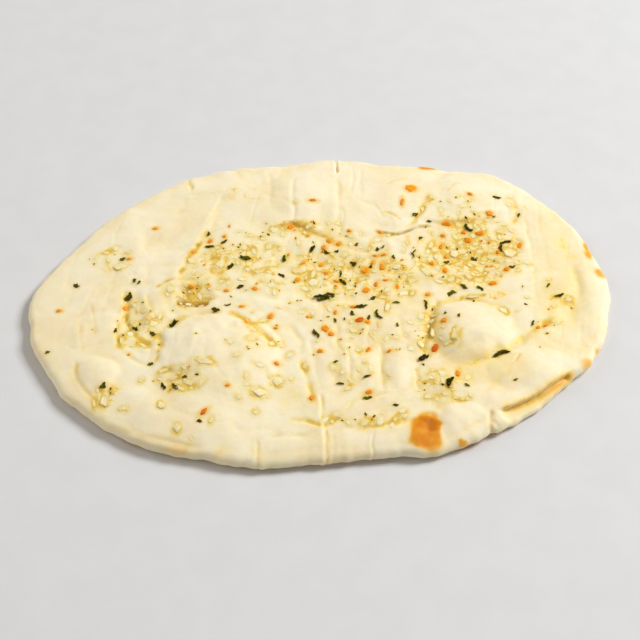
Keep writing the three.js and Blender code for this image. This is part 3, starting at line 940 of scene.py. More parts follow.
# %% Group: buttered, a dry colour stained by butter
THIN_GAIN = 1.5          # thin butter is at its full colour from 1 / 1.5 on
DEEP_FROM = 0.5          # deep butter begins at this amount
DEEP_GAIN = 1.4

buttered, buttered_in, buttered_out = new_group(
    "buttered", [("Dry Colour", "Color", (0.9, 0.8, 0.6, 1)),
                 ("Thin Butter", "Color", (0.92, 0.72, 0.32, 1)),
                 ("Deep Butter", "Color", (0.72, 0.42, 0.06, 1)), ("Butter", "Float", 0.0),
                 ("Dry Roughness", "Float", 0.6), ("Wet Roughness", "Float", 0.25)],
    [("Colour", "Color", None), ("Roughness", "Float", None)])
thin = times(buttered, buttered_in.outputs["Butter"], THIN_GAIN, clamp=True)
deep = math_node(buttered, "SUBTRACT", buttered_in.outputs["Butter"], DEEP_FROM)
deep = times(buttered, deep, DEEP_GAIN, clamp=True)
stained = mix_colours(buttered, thin, buttered_in.outputs["Dry Colour"], buttered_in.outputs["Thin Butter"])
stained = mix_colours(buttered, deep, stained, buttered_in.outputs["Deep Butter"])
buttered.links.new(stained, buttered_out.inputs["Colour"])
wet = buttered.nodes.new("ShaderNodeMapRange")
link_all(buttered, buttered_in, wet,
         [("Butter", "Value"), ("Dry Roughness", "To Min"), ("Wet Roughness", "To Max")])
link_all(buttered, wet, buttered_out, [("Result", "Roughness")])
print("buttered has", len(buttered.nodes), "nodes")

# %% Group: grain, a fine skin for the Bump node
grain, grain_in, grain_out = new_group(
    "grain", [("Vector", "Vector", None), ("Coarse Scale", "Float", 300.0),
              ("Fine Scale", "Float", 1500.0), ("Fine Share", "Float", 0.4)],
    [("Height", "Float", None)])
coarse = add_node(grain, "ShaderNodeTexNoise", Detail=3.0)
fine = add_node(grain, "ShaderNodeTexNoise", Detail=2.0)
link_all(grain, grain_in, coarse, [("Vector", "Vector"), ("Coarse Scale", "Scale")])
link_all(grain, grain_in, fine, [("Vector", "Vector"), ("Fine Scale", "Scale")])
fine_part = times(grain, fine.outputs["Fac"], grain_in.outputs["Fine Share"])
grain.links.new(plus(grain, coarse.outputs["Fac"], fine_part), grain_out.inputs["Height"])
print("node groups:", [g.name for g in bpy.data.node_groups])

# %% [markdown]
# ## The finish of the dough
#
# Naan dough is ivory where it is dry and thick, golden where butter has soaked in, and orange to
# brown where the oven has scorched it. It is also painted a little warmer and more golden where it
# lies low and on its shaded flanks: painted shade. Where each of these is can't be told by a
# texture alone, so the mesh carries values for it, one for each vertex, which a later step works
# out; the finish only turns them into colours. Light goes a little way into dough, so the shader
# has some subsurface scattering: without it bread looks like plaster.

# %% Dough material
def start_material(name):
    """A new material, its tree, its shader, and the socket that gives places on the object."""
    material = bpy.data.materials.new(name)
    material.use_nodes = True
    tree = material.node_tree
    places = tree.nodes.new("ShaderNodeTexCoord").outputs["Object"]
    return material, tree, tree.nodes["Principled BSDF"], places


def read_attribute(tree, name):
    """The value that the mesh carries under this name."""
    return add_node(tree, "ShaderNodeAttribute", attribute_name=name).outputs["Fac"]


def set_sockets(shader, values):
    """Sets the shader's own sockets by name."""
    for name, value in values.items():
        shader.inputs[name].default_value = value


def add_skin(tree, shader, place, strength, depth, **values):
    """Roughens the shader's skin with a grain group, through a Bump node."""
    skin = use_group(tree, grain, **values)
    tree.links.new(place, skin.inputs["Vector"])
    bump = add_node(tree, "ShaderNodeBump", Strength=strength, Distance=depth)
    tree.links.new(skin.outputs["Height"], bump.inputs["Height"])
    tree.links.new(bump.outputs["Normal"], shader.inputs["Normal"])


def drifting(tree, place, **values):
    """The mask of a drift group that reads place."""
    node = use_group(tree, drift, **values)
    tree.links.new(place, node.inputs["Vector"])
    return node.outputs["Mask"]


IVORY = (0.965, 0.865, 0.645)
# The warm ivory is the dough's warmer tone. It is also painted shade in the hollows and on the shaded
# flanks.
WARM_IVORY = (0.90, 0.76, 0.475)
PALE_IVORY = (0.975, 0.90, 0.72)
THIN_BUTTER = (0.95, 0.755, 0.26)
DEEP_BUTTER = (0.86, 0.53, 0.055)
SEEPED_AND_SHADED = (0.30, 0.165, 0.012)         # the dark line in creases, seams and pockets: seeped butter and painted shade
GOLDEN = (0.90, 0.54, 0.07)
TOASTED = (0.74, 0.25, 0.0)
SCORCHED = (0.50, 0.155, 0.0)

dough_finish, tree, shader, place = start_material("naan_dough")
slow = drifting(tree, place, Scale=38.0, Detail=3.0, Low=0.35, High=0.72)
mottle = drifting(tree, place, Scale=260.0, Detail=4.0, Low=0.3, High=0.75)
# Low and shaded parts of the dough are mixed towards warm ivory here: painted shade, added to the random
# warm tone.
warm_share = plus(tree, times(tree, slow, 0.7), read_attribute(tree, "warmth_and_shade"), clamp=True)
dry = mix_colours(tree, warm_share, IVORY, WARM_IVORY)
dry = mix_colours(tree, times(tree, mottle, 0.3), dry, PALE_IVORY)
print("dry dough goes from", IVORY, "to", WARM_IVORY)

# %% Dough material: flat shreds of garlic pressed into the butter
SHRED_SCALE = 250.0      # cells for each metre, so a shred is about 4 mm across
SHRED_BEND = 2.4 * MM    # how far the shreds' outlines are bent out of straight

shifted = add_node(tree, "ShaderNodeTexNoise", Scale=380.0, Detail=2.0)
tree.links.new(place, shifted.inputs["Vector"])
warp = add_node(tree, "ShaderNodeVectorMath", operation="MULTIPLY_ADD")
tree.links.new(shifted.outputs["Color"], warp.inputs[0])
warp.inputs[1].default_value = (SHRED_BEND, SHRED_BEND, 0)
tree.links.new(place, warp.inputs[2])
shreds = add_node(tree, "ShaderNodeTexVoronoi", Scale=SHRED_SCALE)
edges = add_node(tree, "ShaderNodeTexVoronoi", feature="DISTANCE_TO_EDGE", Scale=SHRED_SCALE)
tree.links.new(warp.outputs["Vector"], shreds.inputs["Vector"])
tree.links.new(warp.outputs["Vector"], edges.inputs["Vector"])
outline = add_node(tree, "ShaderNodeMapRange", From_Min=0.0, From_Max=0.12, To_Min=1.0, To_Max=0.0)
tree.links.new(edges.outputs["Distance"], outline.inputs["Value"])
shred_tone = add_node(tree, "ShaderNodeSeparateColor")
tree.links.new(shreds.outputs["Color"], shred_tone.inputs["Color"])
strewn = read_attribute(tree, "strewn")
broken = drifting(tree, place, Scale=150.0, Detail=3.0, Low=0.34, High=0.56)
outlined = times(tree, times(tree, outline.outputs["Result"], broken), strewn)
between = times(tree, math_node(tree, "POWER", shred_tone.outputs[0], 2.0), strewn)
between = times(tree, between, 0.42)
print("shreds are about", round(1 / SHRED_SCALE / MM, 1), "mm across")

# %% Dough material: butter, seeped butter and painted shade in creases
pooling = drifting(tree, place, Scale=300.0, Detail=5.0, Low=0.36, High=0.66)
pooling = plus(tree, times(tree, pooling, 0.8), 0.5)
# The butter value also carries painted shade: more gold in the hollows and on the shaded flanks.
amount = times(tree, plus(tree, read_attribute(tree, "butter"), between), pooling)
amount = plus(tree, amount, times(tree, outlined, 0.8), clamp=True)
stain = use_group(tree, buttered, Thin_Butter=(*THIN_BUTTER, 1), Deep_Butter=(*DEEP_BUTTER, 1),
                  Dry_Roughness=0.55, Wet_Roughness=0.34)
tree.links.new(dry, stain.inputs["Dry Colour"])
tree.links.new(amount, stain.inputs["Butter"])
# The dark lines below are seeped butter and painted shade in creases, seams and pockets.
seeped_and_shaded = times(tree, read_attribute(tree, "seep_and_shade"), pooling)
seeped_and_shaded = plus(tree, seeped_and_shaded, times(tree, outlined, 0.28), clamp=True)
colour = mix_colours(tree, seeped_and_shaded, stain.outputs["Colour"], SEEPED_AND_SHADED)
print("the dough's tree has", len(tree.nodes), "nodes so far")

# %% Dough material: browning and skin
TOASTING = [(GOLDEN, 0.0, 2.6), (TOASTED, 0.22, 2.4), (SCORCHED, 0.68, 2.4)]   # colour, start, gain

patchy = drifting(tree, place, Scale=160.0, Detail=4.0, Low=0.2, High=0.8)
patchy = plus(tree, times(tree, patchy, 0.45), 0.78)
toast = times(tree, read_attribute(tree, "browning"), patchy, clamp=True)
for tone, start, gain in TOASTING:
    share = times(tree, math_node(tree, "SUBTRACT", toast, start), gain, clamp=True)
    colour = mix_colours(tree, share, colour, tone)

tree.links.new(colour, shader.inputs["Base Color"])
tree.links.new(stain.outputs["Roughness"], shader.inputs["Roughness"])
set_sockets(shader, {"Subsurface Weight": 0.55, "Subsurface Radius": (1.0, 0.62, 0.22),
                     "Subsurface Scale": 2.6 * MM, "Specular IOR Level": 0.22})
add_skin(tree, shader, place, 0.35, 0.35 * MM, Coarse_Scale=420.0, Fine_Scale=1700.0, Fine_Share=0.35)
naan_mesh.materials.append(dough_finish)
print("the dough's whole tree has", len(tree.nodes), "nodes")

# %% [markdown]
# ## The finish of the toppings
#
# Cooked garlic is pale and waxy, and golden at its foot where it stands in butter. Chilli is a
# clear orange to red, glossy with oil. Herb is a dark green, wilted and drier. All three are
# built the same way, so one function makes them from their colours and a few measures: the
# piece's tint picks its colour, small spots vary it, and "soak" stains its foot.

# %% Topping materials
SPOT_SHARE = 0.35        # how strongly the spots show
SOAK_POWER = 1.2         # above 1, butter keeps nearer to the foot
WET_SHARE = 0.6          # a soaked foot is this much smoother than the dry top


def topping_material(name, colours, soaked, share, roughness, scatter, coat, fine_scale, shine=0.2):
    """colours are the two that tint picks between, and that of the spots. soaked are the foot's
    colours where butter is thin and where it is deep, and share is how much butter there is."""
    material, tree, shader, place = start_material(name)
    body = mix_colours(tree, read_attribute(tree, "tint"), colours[0], colours[1])
    spots = drifting(tree, place, Scale=700.0, Detail=3.0, Low=0.3, High=0.75)
    body = mix_colours(tree, times(tree, spots, SPOT_SHARE), body, colours[2])
    foot = use_group(tree, buttered, Thin_Butter=(*soaked[0], 1), Deep_Butter=(*soaked[1], 1),
                     Dry_Roughness=roughness, Wet_Roughness=roughness * WET_SHARE)
    low = math_node(tree, "POWER", read_attribute(tree, "soak"), SOAK_POWER)
    tree.links.new(times(tree, low, share), foot.inputs["Butter"])
    tree.links.new(body, foot.inputs["Dry Colour"])
    tree.links.new(foot.outputs["Colour"], shader.inputs["Base Color"])
    tree.links.new(foot.outputs["Roughness"], shader.inputs["Roughness"])
    set_sockets(shader, {"Subsurface Weight": scatter, "Subsurface Radius": (1.0, 0.6, 0.25),
                         "Subsurface Scale": 1.0 * MM, "Coat Weight": coat,
                         "Coat Roughness": 0.2, "Specular IOR Level": shine})
    add_skin(tree, shader, place, 0.3, 0.2 * MM, Coarse_Scale=900.0, Fine_Scale=fine_scale, Fine_Share=0.5)
    return material


garlic_finish = topping_material(
    "cooked_garlic", colours=((1.0, 0.87, 0.58), (0.97, 0.735, 0.28), (1.0, 0.89, 0.64)),
    soaked=((0.87, 0.57, 0.11), (0.68, 0.38, 0.03)), share=1.1,
    roughness=0.36, scatter=0.5, coat=0.1, fine_scale=2600.0)
chilli_finish = topping_material(
    "chilli", colours=((0.98, 0.34, 0.003), (0.60, 0.04, 0.0), (0.98, 0.40, 0.006)),
    soaked=((0.95, 0.50, 0.05), (0.90, 0.34, 0.01)), share=0.6,
    roughness=0.34, scatter=0.2, coat=0.15, fine_scale=2200.0)
herb_finish = topping_material(
    "herb_leaf", colours=((0.050, 0.046, 0.0), (0.22, 0.235, 0.008), (0.026, 0.020, 0.0)),
    soaked=((0.07, 0.05, 0.004), (0.045, 0.032, 0.002)), share=0.5,
    roughness=0.65, scatter=0.0, coat=0.0, fine_scale=3200.0, shine=0.06)
print("materials:", [m.name for m in bpy.data.materials if m.users])

# %% [markdown]
# ## The larger toppings
#
# Each of these stands for one node of the fixed model, and takes its place, length, width and
# turn from it. Only the outline, the bevels and the tint are random, from a fixed seed. Every
# topping also notes where it lies, because butter gathers round it and stains the dough there.

# %% Garlic pieces
GARLIC_STAIN = 0.5     # how much butter gathers round a piece
rng = random.Random(11)
stains = []            # x, y, half length, half width, turn, how much butter, how much red oil


def node_names(kind):
    """The fixed model's nodes of one kind, in the order of their names."""
    return sorted(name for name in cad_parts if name.startswith(kind))


def leave_stain(x, y, length, width, turn, strength, glow=0.0):
    """Notes a topping that butter gathers round, and how much its own oil reddens the dough."""
    stains.append((x, y, length * 0.5, width * 0.5, turn, strength, glow))


def lay(piece, model, x, y, size, turn, tint, sink):
    """Adds a model to a piece at a place in mm, with size = (length, width, thickness) in mm."""
    place = seat(x * MM, y * MM, size[0] * MM, turn)
    piece.add(model, place, [measure * MM for measure in size], tint, sink)
    model.free()


def lay_garlic(piece, x, y, length, width, turn, corners, thick=0.5, sink=0.52, tints=(0.3, 0.9)):
    """Makes a chip with slightly uneven faces and lays it."""
    model = chip(rng, corners, 0.28, 0.72, 0.09, 3)
    bmesh.ops.subdivide_edges(model, edges=model.edges, cuts=1, use_grid_fill=True)
    for v in model.verts:
        v.co += Vector([rng.uniform(-0.01, 0.01), rng.uniform(-0.01, 0.01), rng.uniform(-0.06, 0.06)])
    lay(piece, model, x, y, (length, width, thick), turn, rng.uniform(*tints), sink)
    leave_stain(x, y, length, width, turn, GARLIC_STAIN)


for node in node_names("garlic_piece"):
    piece = Strewn("chopped_" + node)
    corners = rng.choice((4, 5, 5))
    thick = rng.uniform(0.9, 1.2)
    lay_garlic(piece, *node_plan(node), corners, thick, sink=0.45, tints=(0.0, 0.3))
    piece.finish(garlic_finish, [node])
print("garlic pieces:", len(stains))

# %% Chilli bits
RED_BITS = ("chilli_bit_02", "chilli_bit_03", "chilli_bit_13")
RED_TINT = 0.9
CHILLI_STAIN = 0.35
CHILLI_GLOW = 0.16     # how much its oil reddens the dough round a chilli bit


def lay_chilli(piece, x, y, length, width, turn, tint):
    """Makes a small rounded chip and lays it."""
    model = chip(rng, rng.choice((5, 6, 7)), 0.24, 0.74, 0.14, 3)
    thick = rng.uniform(0.8, 1.1)
    lay(piece, model, x, y, (length, width, thick), turn, tint, sink=0.38)
    leave_stain(x, y, length, width, turn, CHILLI_STAIN, CHILLI_GLOW)


for node in node_names("chilli_bit"):
    piece = Strewn("chopped_" + node)
    lay_chilli(piece, *node_plan(node), RED_TINT if node in RED_BITS else rng.uniform(0.0, 0.35))
    piece.finish(chilli_finish, [node])
print("chilli bits:", len(node_names("chilli_bit")))

# %% Herb flakes
CLUMPS = [      # longer and wider than this in mm: leaves, their share of the length, slimness
    (9, 4, 7, 0.4, 0.6),
    (5.5, 3, 3, 0.68, 0.8),
    (4.5, 0, 2, 0.68, 0.8),
    (0, 0, 1, 0.95, 1),
]
LEAF_LIFT = 0.08 * MM      # each leaf of a clump lies this much above the one before
LEAF_TALL = 0.6            # how strongly a leaf's curl is drawn, against its length
HERB_STAIN = 0.25


def lay_herb(piece, x, y, length, width, turn, tint):
    """Lays a flake, or where it is large a clump of torn leaves."""
    leaves, shrink, slimmer = next(row[2:] for row in CLUMPS if length > row[0] and width > row[1])
    size = length * shrink
    for leaf in range(leaves):
        slim = min(0.95, width / length / shrink) * rng.uniform(0.8, 1.0) * slimmer
        model = leaf_flake(rng, 12, 4, slim, rng.uniform(0.2, 0.7), rng.uniform(-0.9, 0.9), 0.04)
        off, aside, turned = 0, 0, turn
        if leaves > 1:
            off = (leaf / (leaves - 1) - 0.5) * length * (1.0 - shrink)
            turned = turn + rng.uniform(-0.6, 0.6)
        if leaves > 3:
            aside = (leaf % 2 - 0.5) * width * 0.35
        spot_x = x + off * math.cos(turn) - aside * math.sin(turn)
        spot_y = y + off * math.sin(turn) + aside * math.cos(turn)
        place = seat(spot_x * MM, spot_y * MM, size * MM, turned)
        place = place @ Matrix.Translation((0, 0, LEAF_LIFT * leaf))
        tall = size * MM * LEAF_TALL
        piece.add(model, place, (size * MM, size * MM, tall), tint * rng.uniform(0.3, 1.8), sink=0.04)
        model.free()
    leave_stain(x, y, length, width, turn, HERB_STAIN)


for node in node_names("herb_flake"):
    piece = Strewn("torn_" + node)
    lay_herb(piece, *node_plan(node), rng.uniform(0, 0.4))
    piece.finish(herb_finish, [node])
print("herb flakes:", len(node_names("herb_flake")))

# %% [markdown]
# ## Crumbs and specks
#
# The cook's spoon dropped the toppings in drifts: thick in the middle and at the back right,
# thin towards the rim. Each drift is an ellipse with a count of every kind, and crumbs are
# thrown into it at random from a fixed seed. A crumb that would land on another is thrown again.
# Bits that stand out are placed one by one, because the eye finds them. A particle system could
# throw the crumbs too, but it can't keep them apart or clear of the browned patch.

# %% Bits placed one by one
HERB_BITS = [  # x, y, length, width, turn in degrees
    (63, -1, 5.5, 3.5, 35), (58, -57, 6, 4, 60), (91, 65, 5, 3, -20), (27, -16, 7, 2.6, -65),
    (-2, -27.5, 6, 2.4, -45), (21, -65.5, 4.5, 3, 0), (11, 7, 5, 3.5, -50), (10, 12.5, 5, 1.2, 75),
    (-48, 33, 4, 2, 40), (-4, 28.5, 5, 2.5, 70), (3, 26, 3.5, 2.5, -30), (16, 19, 4.5, 3, -60),
    (25.5, -4, 3.5, 3, 40), (75.5, 22.5, 4, 2.5, -45), (46, 25, 6.5, 1.2, 85), (50, 36, 3, 2, 40),
    (94, 16, 4, 2, 15), (66, -58, 3, 2.5, -30), (33.5, -69, 3, 2, 0), (114.5, -3, 5, 2, 10),
    (110, 4, 3.5, 1.5, 60), (101, 53, 3.5, 1.5, 70), (48, 53, 3.5, 3, 20), (9, -57, 4, 1.5, -10),
    (21, -53.5, 4.5, 1.5, 25), (-96, -25, 4, 2, 80), (-77.5, -46, 3, 2.5, 0), (89.5, 29.5, 5.5, 2, 80),
    (-38.5, 2, 4, 3, 30), (-44, -10, 3.5, 1.5, 10), (-65, -60, 5, 2, -60), (22.8, -17.5, 3.5, 2, 80),
    (-56, 39, 3.5, 2, 90), (-97, 21, 3.5, 2.5, 30), (-90, 6.5, 3, 2.2, 80), (-87.5, 5, 3, 1.8, 60),
    (-53, -78.5, 2.8, 2.4, 0), (55, 47.5, 3, 2, 10), (36, 22.5, 3, 2, 100), (24.5, 17, 3, 2, 70),
    (64.5, -20, 3, 2, 80), (36, -7.5, 4, 2, 0), (-126, -37, 2.6, 2, 30), (7, -45, 2.4, 1.8, 20),
    (62, 20.5, 3.2, 2.6, 10), (73, -7, 3.4, 1.4, 90), (99.5, -21, 3.6, 1.5, 70),
    (88, -55, 2.6, 1.4, 20), (18, 31, 2.6, 2, 60), (28, 28, 3, 2, 90), (31, 29.5, 3, 1.6, 40),
    (8, 27, 2.6, 2, 30), (-61, -55, 2.6, 2, 0), (15, -14.5, 3.4, 2.4, 120), (7, -19, 3, 2, 110),
    (36, -22.5, 2.6, 1.8, 90), (-86.8, -23, 2.4, 1.6, 20),
]
CHILLI_BITS = [
    (-55, 34, 3.4, 2.6, 60), (-15, 44, 5, 4, 60), (-11, 8, 3.6, 3, 20), (0.5, 18.5, 3.2, 2.6, 0),
    (-8.5, 19, 4, 2, 40), (27, 5, 3.6, 2, 80), (37, 3.5, 4, 2, 90), (26, 20, 3.6, 2, 70),
    (4, 34, 4, 2.6, 120), (2, 29.5, 4, 2.6, 80), (9, 32, 3.4, 2.6, 30), (64, 46, 6, 2.8, -15),
    (72, 41, 3.4, 2.6, 100), (60, 31, 4.4, 2.4, 80), (61.5, 38.5, 3, 2.6, 0), (54.5, 19, 3, 2.8, 0),
    (61, 14, 4, 2.6, 90), (91, 14.5, 3.6, 3, 40), (99, 31, 5, 2.6, 70), (88, 27, 3.4, 2.2, 70),
    (42, 62.5, 6, 2.2, 85), (77, 67, 3.4, 2.2, -40), (102, -23, 3, 2, 30), (106, -21.5, 3.4, 1.8, 30),
    (62.5, -51.5, 5, 2.4, 80), (22, -38, 4.4, 2.4, 60), (-4, -65, 3.4, 2.4, 80), (0, -38, 3, 2.6, 0),
    (31.5, -38.5, 2.6, 1.8, 30), (-93, -10, 3.4, 2.6, 80), (-62, 2.5, 3, 2.4, 0), (-37, -11, 3.6, 2, 0),
    (-45, -0.5, 2.6, 2, 0), (-20, -46, 3, 2.4, 0), (-41.5, -60, 2.4, 2, 0), (-21, -24, 2.2, 1.8, 0),
    (15.5, -10, 3.6, 2.4, 0), (21.5, -62, 3.6, 2.2, 20), (5, -27.5, 3.6, 3, 20),
    (14.5, 40.5, 2.6, 2.2, 0), (-4, 61, 3.8, 1.6, 0), (29.5, 40, 3, 1.8, -45), (-48, 37, 2.2, 1.8, 90),
    (8, 7.5, 4, 1.8, -30), (3, 13, 2.8, 2.2, 0), (31, 24.5, 3, 1.6, 10), (27, 24, 2.6, 1.4, 0),
    (31.5, 8, 2.8, 1.4, 0), (22, -20.5, 3, 2.4, 0), (7, -14, 3, 1.8, 90), (-94, 21, 2.6, 1.6, 0),
    (62, 24, 2.6, 2, 90), (84, 33.5, 2.6, 1.4, 80),
]
GARLIC_BITS = [
    (82, 44, 6, 4, 110), (84.5, 48.5, 4, 2.4, 30), (78, 45, 4, 2, 90), (90, 41, 5, 3.5, 20),
    (51, 13.5, 6, 3.4, 130), (-49, 18, 8, 6, 80), (-71, -50, 6, 2.6, 20), (17.5, -38, 4, 3.2, 40),
    (-28.5, -73, 4, 3.4, 70), (118.5, -5.5, 5, 3.6, 30), (96, 13.5, 3.6, 2, 40), (80, 20, 4, 3, 0),
    (70, 34, 5, 3, 60), (63, 8, 5, 3, 20), (72, 10, 5, 3.4, 130), (55, 32, 6, 3, 70),
    (43, 33, 6, 2.6, 85), (-27, -20, 6, 3, 30), (-31, -28, 5, 2.4, -40), (62, -31, 7, 3.4, 75),
    (12, -60, 5, 2.6, 40), (-92, -32, 6, 3, 100), (-82, -34, 5, 2.6, -20), (73, -3.5, 7, 2.4, 5),
    (-60, -58, 7, 3, -35), (-63, -61, 6, 2.4, -30), (-66, -55, 5, 2.4, 20), (-101, -67, 5, 2, 100),
    (-58, -3, 7, 3, 110), (-63, -7, 5, 3, 20), (6, -4.5, 4, 3, 0), (14, 3, 5, 4, 20), (5, 21, 5, 4, 60),
    (-12, 14, 6, 4, -20), (-30, 13, 6, 3.6, 20), (-26, 30, 6, 4, 50), (-33, 27, 5, 3, 100),
    (24, -29, 6, 2, -60), (52, 57, 5, 2.6, 80), (-7, -47, 5, 2.6, 110), (56, -63, 5, 3, 0),
    (48, -64, 5, 3.4, 20), (-81, -55, 3.4, 2.8, 60), (-88, -71, 4, 3, 0), (-106, 26, 5, 2.6, -10),
    (-48, -78, 4, 2, 80), (33, -76, 4, 2.4, 60), (-8, 2, 5, 4, 0), (44, -1.5, 4, 2.4, 60),
    (15, -25, 5, 4, 0), (34, 38, 4, 2, 20), (20, 9, 5, 3, 40), (45, 8, 6, 4, 20),
]
print("by hand:", len(HERB_BITS), "herb,", len(CHILLI_BITS), "chilli,", len(GARLIC_BITS), "garlic")

# %% Drifts of crumbs
DRIFTS = [  # middle, half length, half width, and how many of garlic, herb and chilli
    ((10, 10), 40, 32, 50, 26, 8),
    ((74, 28), 29, 26, 48, 14, 7),
    ((-40, 20), 28, 22, 26, 11, 3),
    ((-86, -20), 12, 20, 12, 6, 1),
    ((-62, -2), 12, 9, 9, 4, 1),
    ((-64, -56), 13, 7, 7, 4, 0),
    ((-24, -42), 24, 20, 10, 5, 1),
    ((20, -36), 30, 24, 18, 9, 2),
    ((51, -28), 9, 22, 9, 6, 0),
    ((58, -60), 14, 9, 10, 4, 0),
    ((24, -76), 24, 5, 10, 4, 0),
    ((-102, 22), 12, 8, 4, 2, 0),
    ((-97, -65), 5, 8, 4, 2, 0),
    ((104, -10), 16, 22, 5, 6, 1),
    ((76, 62), 24, 14, 8, 4, 1),
    ((-12, 43), 20, 6, 10, 5, 2),
    ((0, 0), 120, 82, 8, 16, 1),
]
GARLIC, HERB, CHILLI = range(3)      # the order of those counts
print("crumbs asked for:", sum(sum(row[3:]) for row in DRIFTS), "in", len(DRIFTS), "drifts")

# %% Throwing crumbs
SPREAD = 1.6            # above 1, crumbs keep nearer to the middle of their drift
TRIES = 12              # how often a crumb is thrown again before it is left out
BARE_SPOT = (48, -83, 11)     # middle and reach of the browned patch, which holds no crumbs
RIM_CLEAR = 9           # crumbs keep this far inside the outline, in mm
CRUMB_STAIN = 0.34      # how much butter gathers round a crumb
CRUMB_REACH = 0.4       # share of a crumb's length that it keeps free round itself
FLAKE_REACH = 0.9       # the same for the larger pieces, of their half length


def throw(rng, drift_row):
    """A random place in a drift, more often near its middle."""
    (cx, cy), long, wide = drift_row[:3]
    angle, away = rng.uniform(0, 2 * math.pi), rng.random() ** (SPREAD / 2)
    return cx + long * away * math.cos(angle), cy + wide * away * math.sin(angle)


def far_enough(x, y, gap):
    """Whether a place is clear of everything that lies there already."""
    return all((x - tx) ** 2 + (y - ty) ** 2 > (gap + tg) ** 2 for tx, ty, tg in taken)


def strew(heap, kind, models, shortest, longest, thickness, tints, sink):
    """Throws one kind of crumb over all the drifts. thickness is a range in mm, or None where
    the models have their own."""
    for row in DRIFTS:
        for _ in range(row[3 + kind]):
            length = shortest + (longest - shortest) * rng.random() ** 1.6
            for _ in range(TRIES):
                x, y = throw(rng, row)
                inside = math.hypot(x, y) < reach_at(math.atan2(y, x)) - RIM_CLEAR
                if inside and far_enough(x, y, length * CRUMB_REACH):
                    break
            else:
                continue
            taken.append((x, y, length * CRUMB_REACH))
            width = length * rng.uniform(0.45, 0.9)
            turn = rng.uniform(0, 2 * math.pi)
            place = seat(x * MM, y * MM, length * MM, turn)
            size = length * MM, length * MM, length * MM
            if thickness:
                size = length * MM, width * MM, rng.uniform(*thickness) * MM
            heap.add(rng.choice(models), place, size, rng.uniform(*tints), sink)
            leave_stain(x, y, length, width, turn, CRUMB_STAIN)


print("crumbs keep", RIM_CLEAR, "mm inside the outline")

# %% Fill the heaps
herb_heap = Strewn("herb_specks")
chilli_heap = Strewn("chilli_specks")
garlic_heap = Strewn("garlic_crumbs")
for x, y, length, width, turn in HERB_BITS:
    lay_herb(herb_heap, x, y, length, width, math.radians(turn), rng.uniform(0, 0.8))
for x, y, length, width, turn in CHILLI_BITS:
    lay_chilli(chilli_heap, x, y, length, width, math.radians(turn), rng.uniform(0, 0.45))
for x, y, length, width, turn in GARLIC_BITS:
    lay_garlic(garlic_heap, x, y, length, width, math.radians(turn), rng.choice((4, 4, 5)))
taken = [(sx, sy, max(long, wide) * FLAKE_REACH) for sx, sy, long, wide, *_ in stains]
taken.append(BARE_SPOT)
garlic_models = [chip(rng, corners, 0.24, 0.7, 0.1, 1) for corners in (3, 4, 4, 4, 5, 5, 5, 6)]
chilli_models = [chip(rng, corners, 0.15, 0.8, 0.12, 1) for corners in (4, 5, 6, 6)]
herb_models = [leaf_flake(rng, 6, 2, rng.uniform(0.3, 0.75), rng.uniform(0.2, 0.7),
                          rng.uniform(-1, 1), 0.07) for _ in range(9)]
strew(chilli_heap, CHILLI, chilli_models, 1.0, 2.4, thickness=(0.6, 0.9), tints=(0.0, 0.25), sink=0.4)
strew(herb_heap, HERB, herb_models, 0.8, 1.9, thickness=None, tints=(0.0, 0.8), sink=0.05)
strew(garlic_heap, GARLIC, garlic_models, 2.2, 6.2, thickness=(0.42, 0.6), tints=(0.0, 0.9), sink=0.6)
print("in the heaps:", {heap.name: heap.count for heap in (herb_heap, chilli_heap, garlic_heap)})
herb_heap.finish(herb_finish)
chilli_heap.finish(chilli_finish)
garlic_heap.finish(garlic_finish, rounded=False)

# %% [markdown]
# ## Where butter and browning are
#
# The dough's finish reads five values from every vertex. "butter" is the sum of broad stained
# areas, what the creases hold, and a golden ring round every crumb. It also holds painted shade:
# more gold in the hollows and on the shaded flanks. "strewn" says where shreds of garlic lie.
# "seep_and_shade" says where butter is so deep that it looks brown, together with dark lines
# painted as shade in creases, in the lip's seam and in the pocket by the large bubble.
# "warmth_and_shade" is painted shade where the crust lies low and on the shaded flanks, with a
# warmer tone of the dough. "browning" is a few scorched patches, the edge of the lip, the oil of
# the chilli, and a pattern of its own on the sole. Painting them by hand would do as well, but
# worked out here they follow the creases and crumbs wherever those are moved.

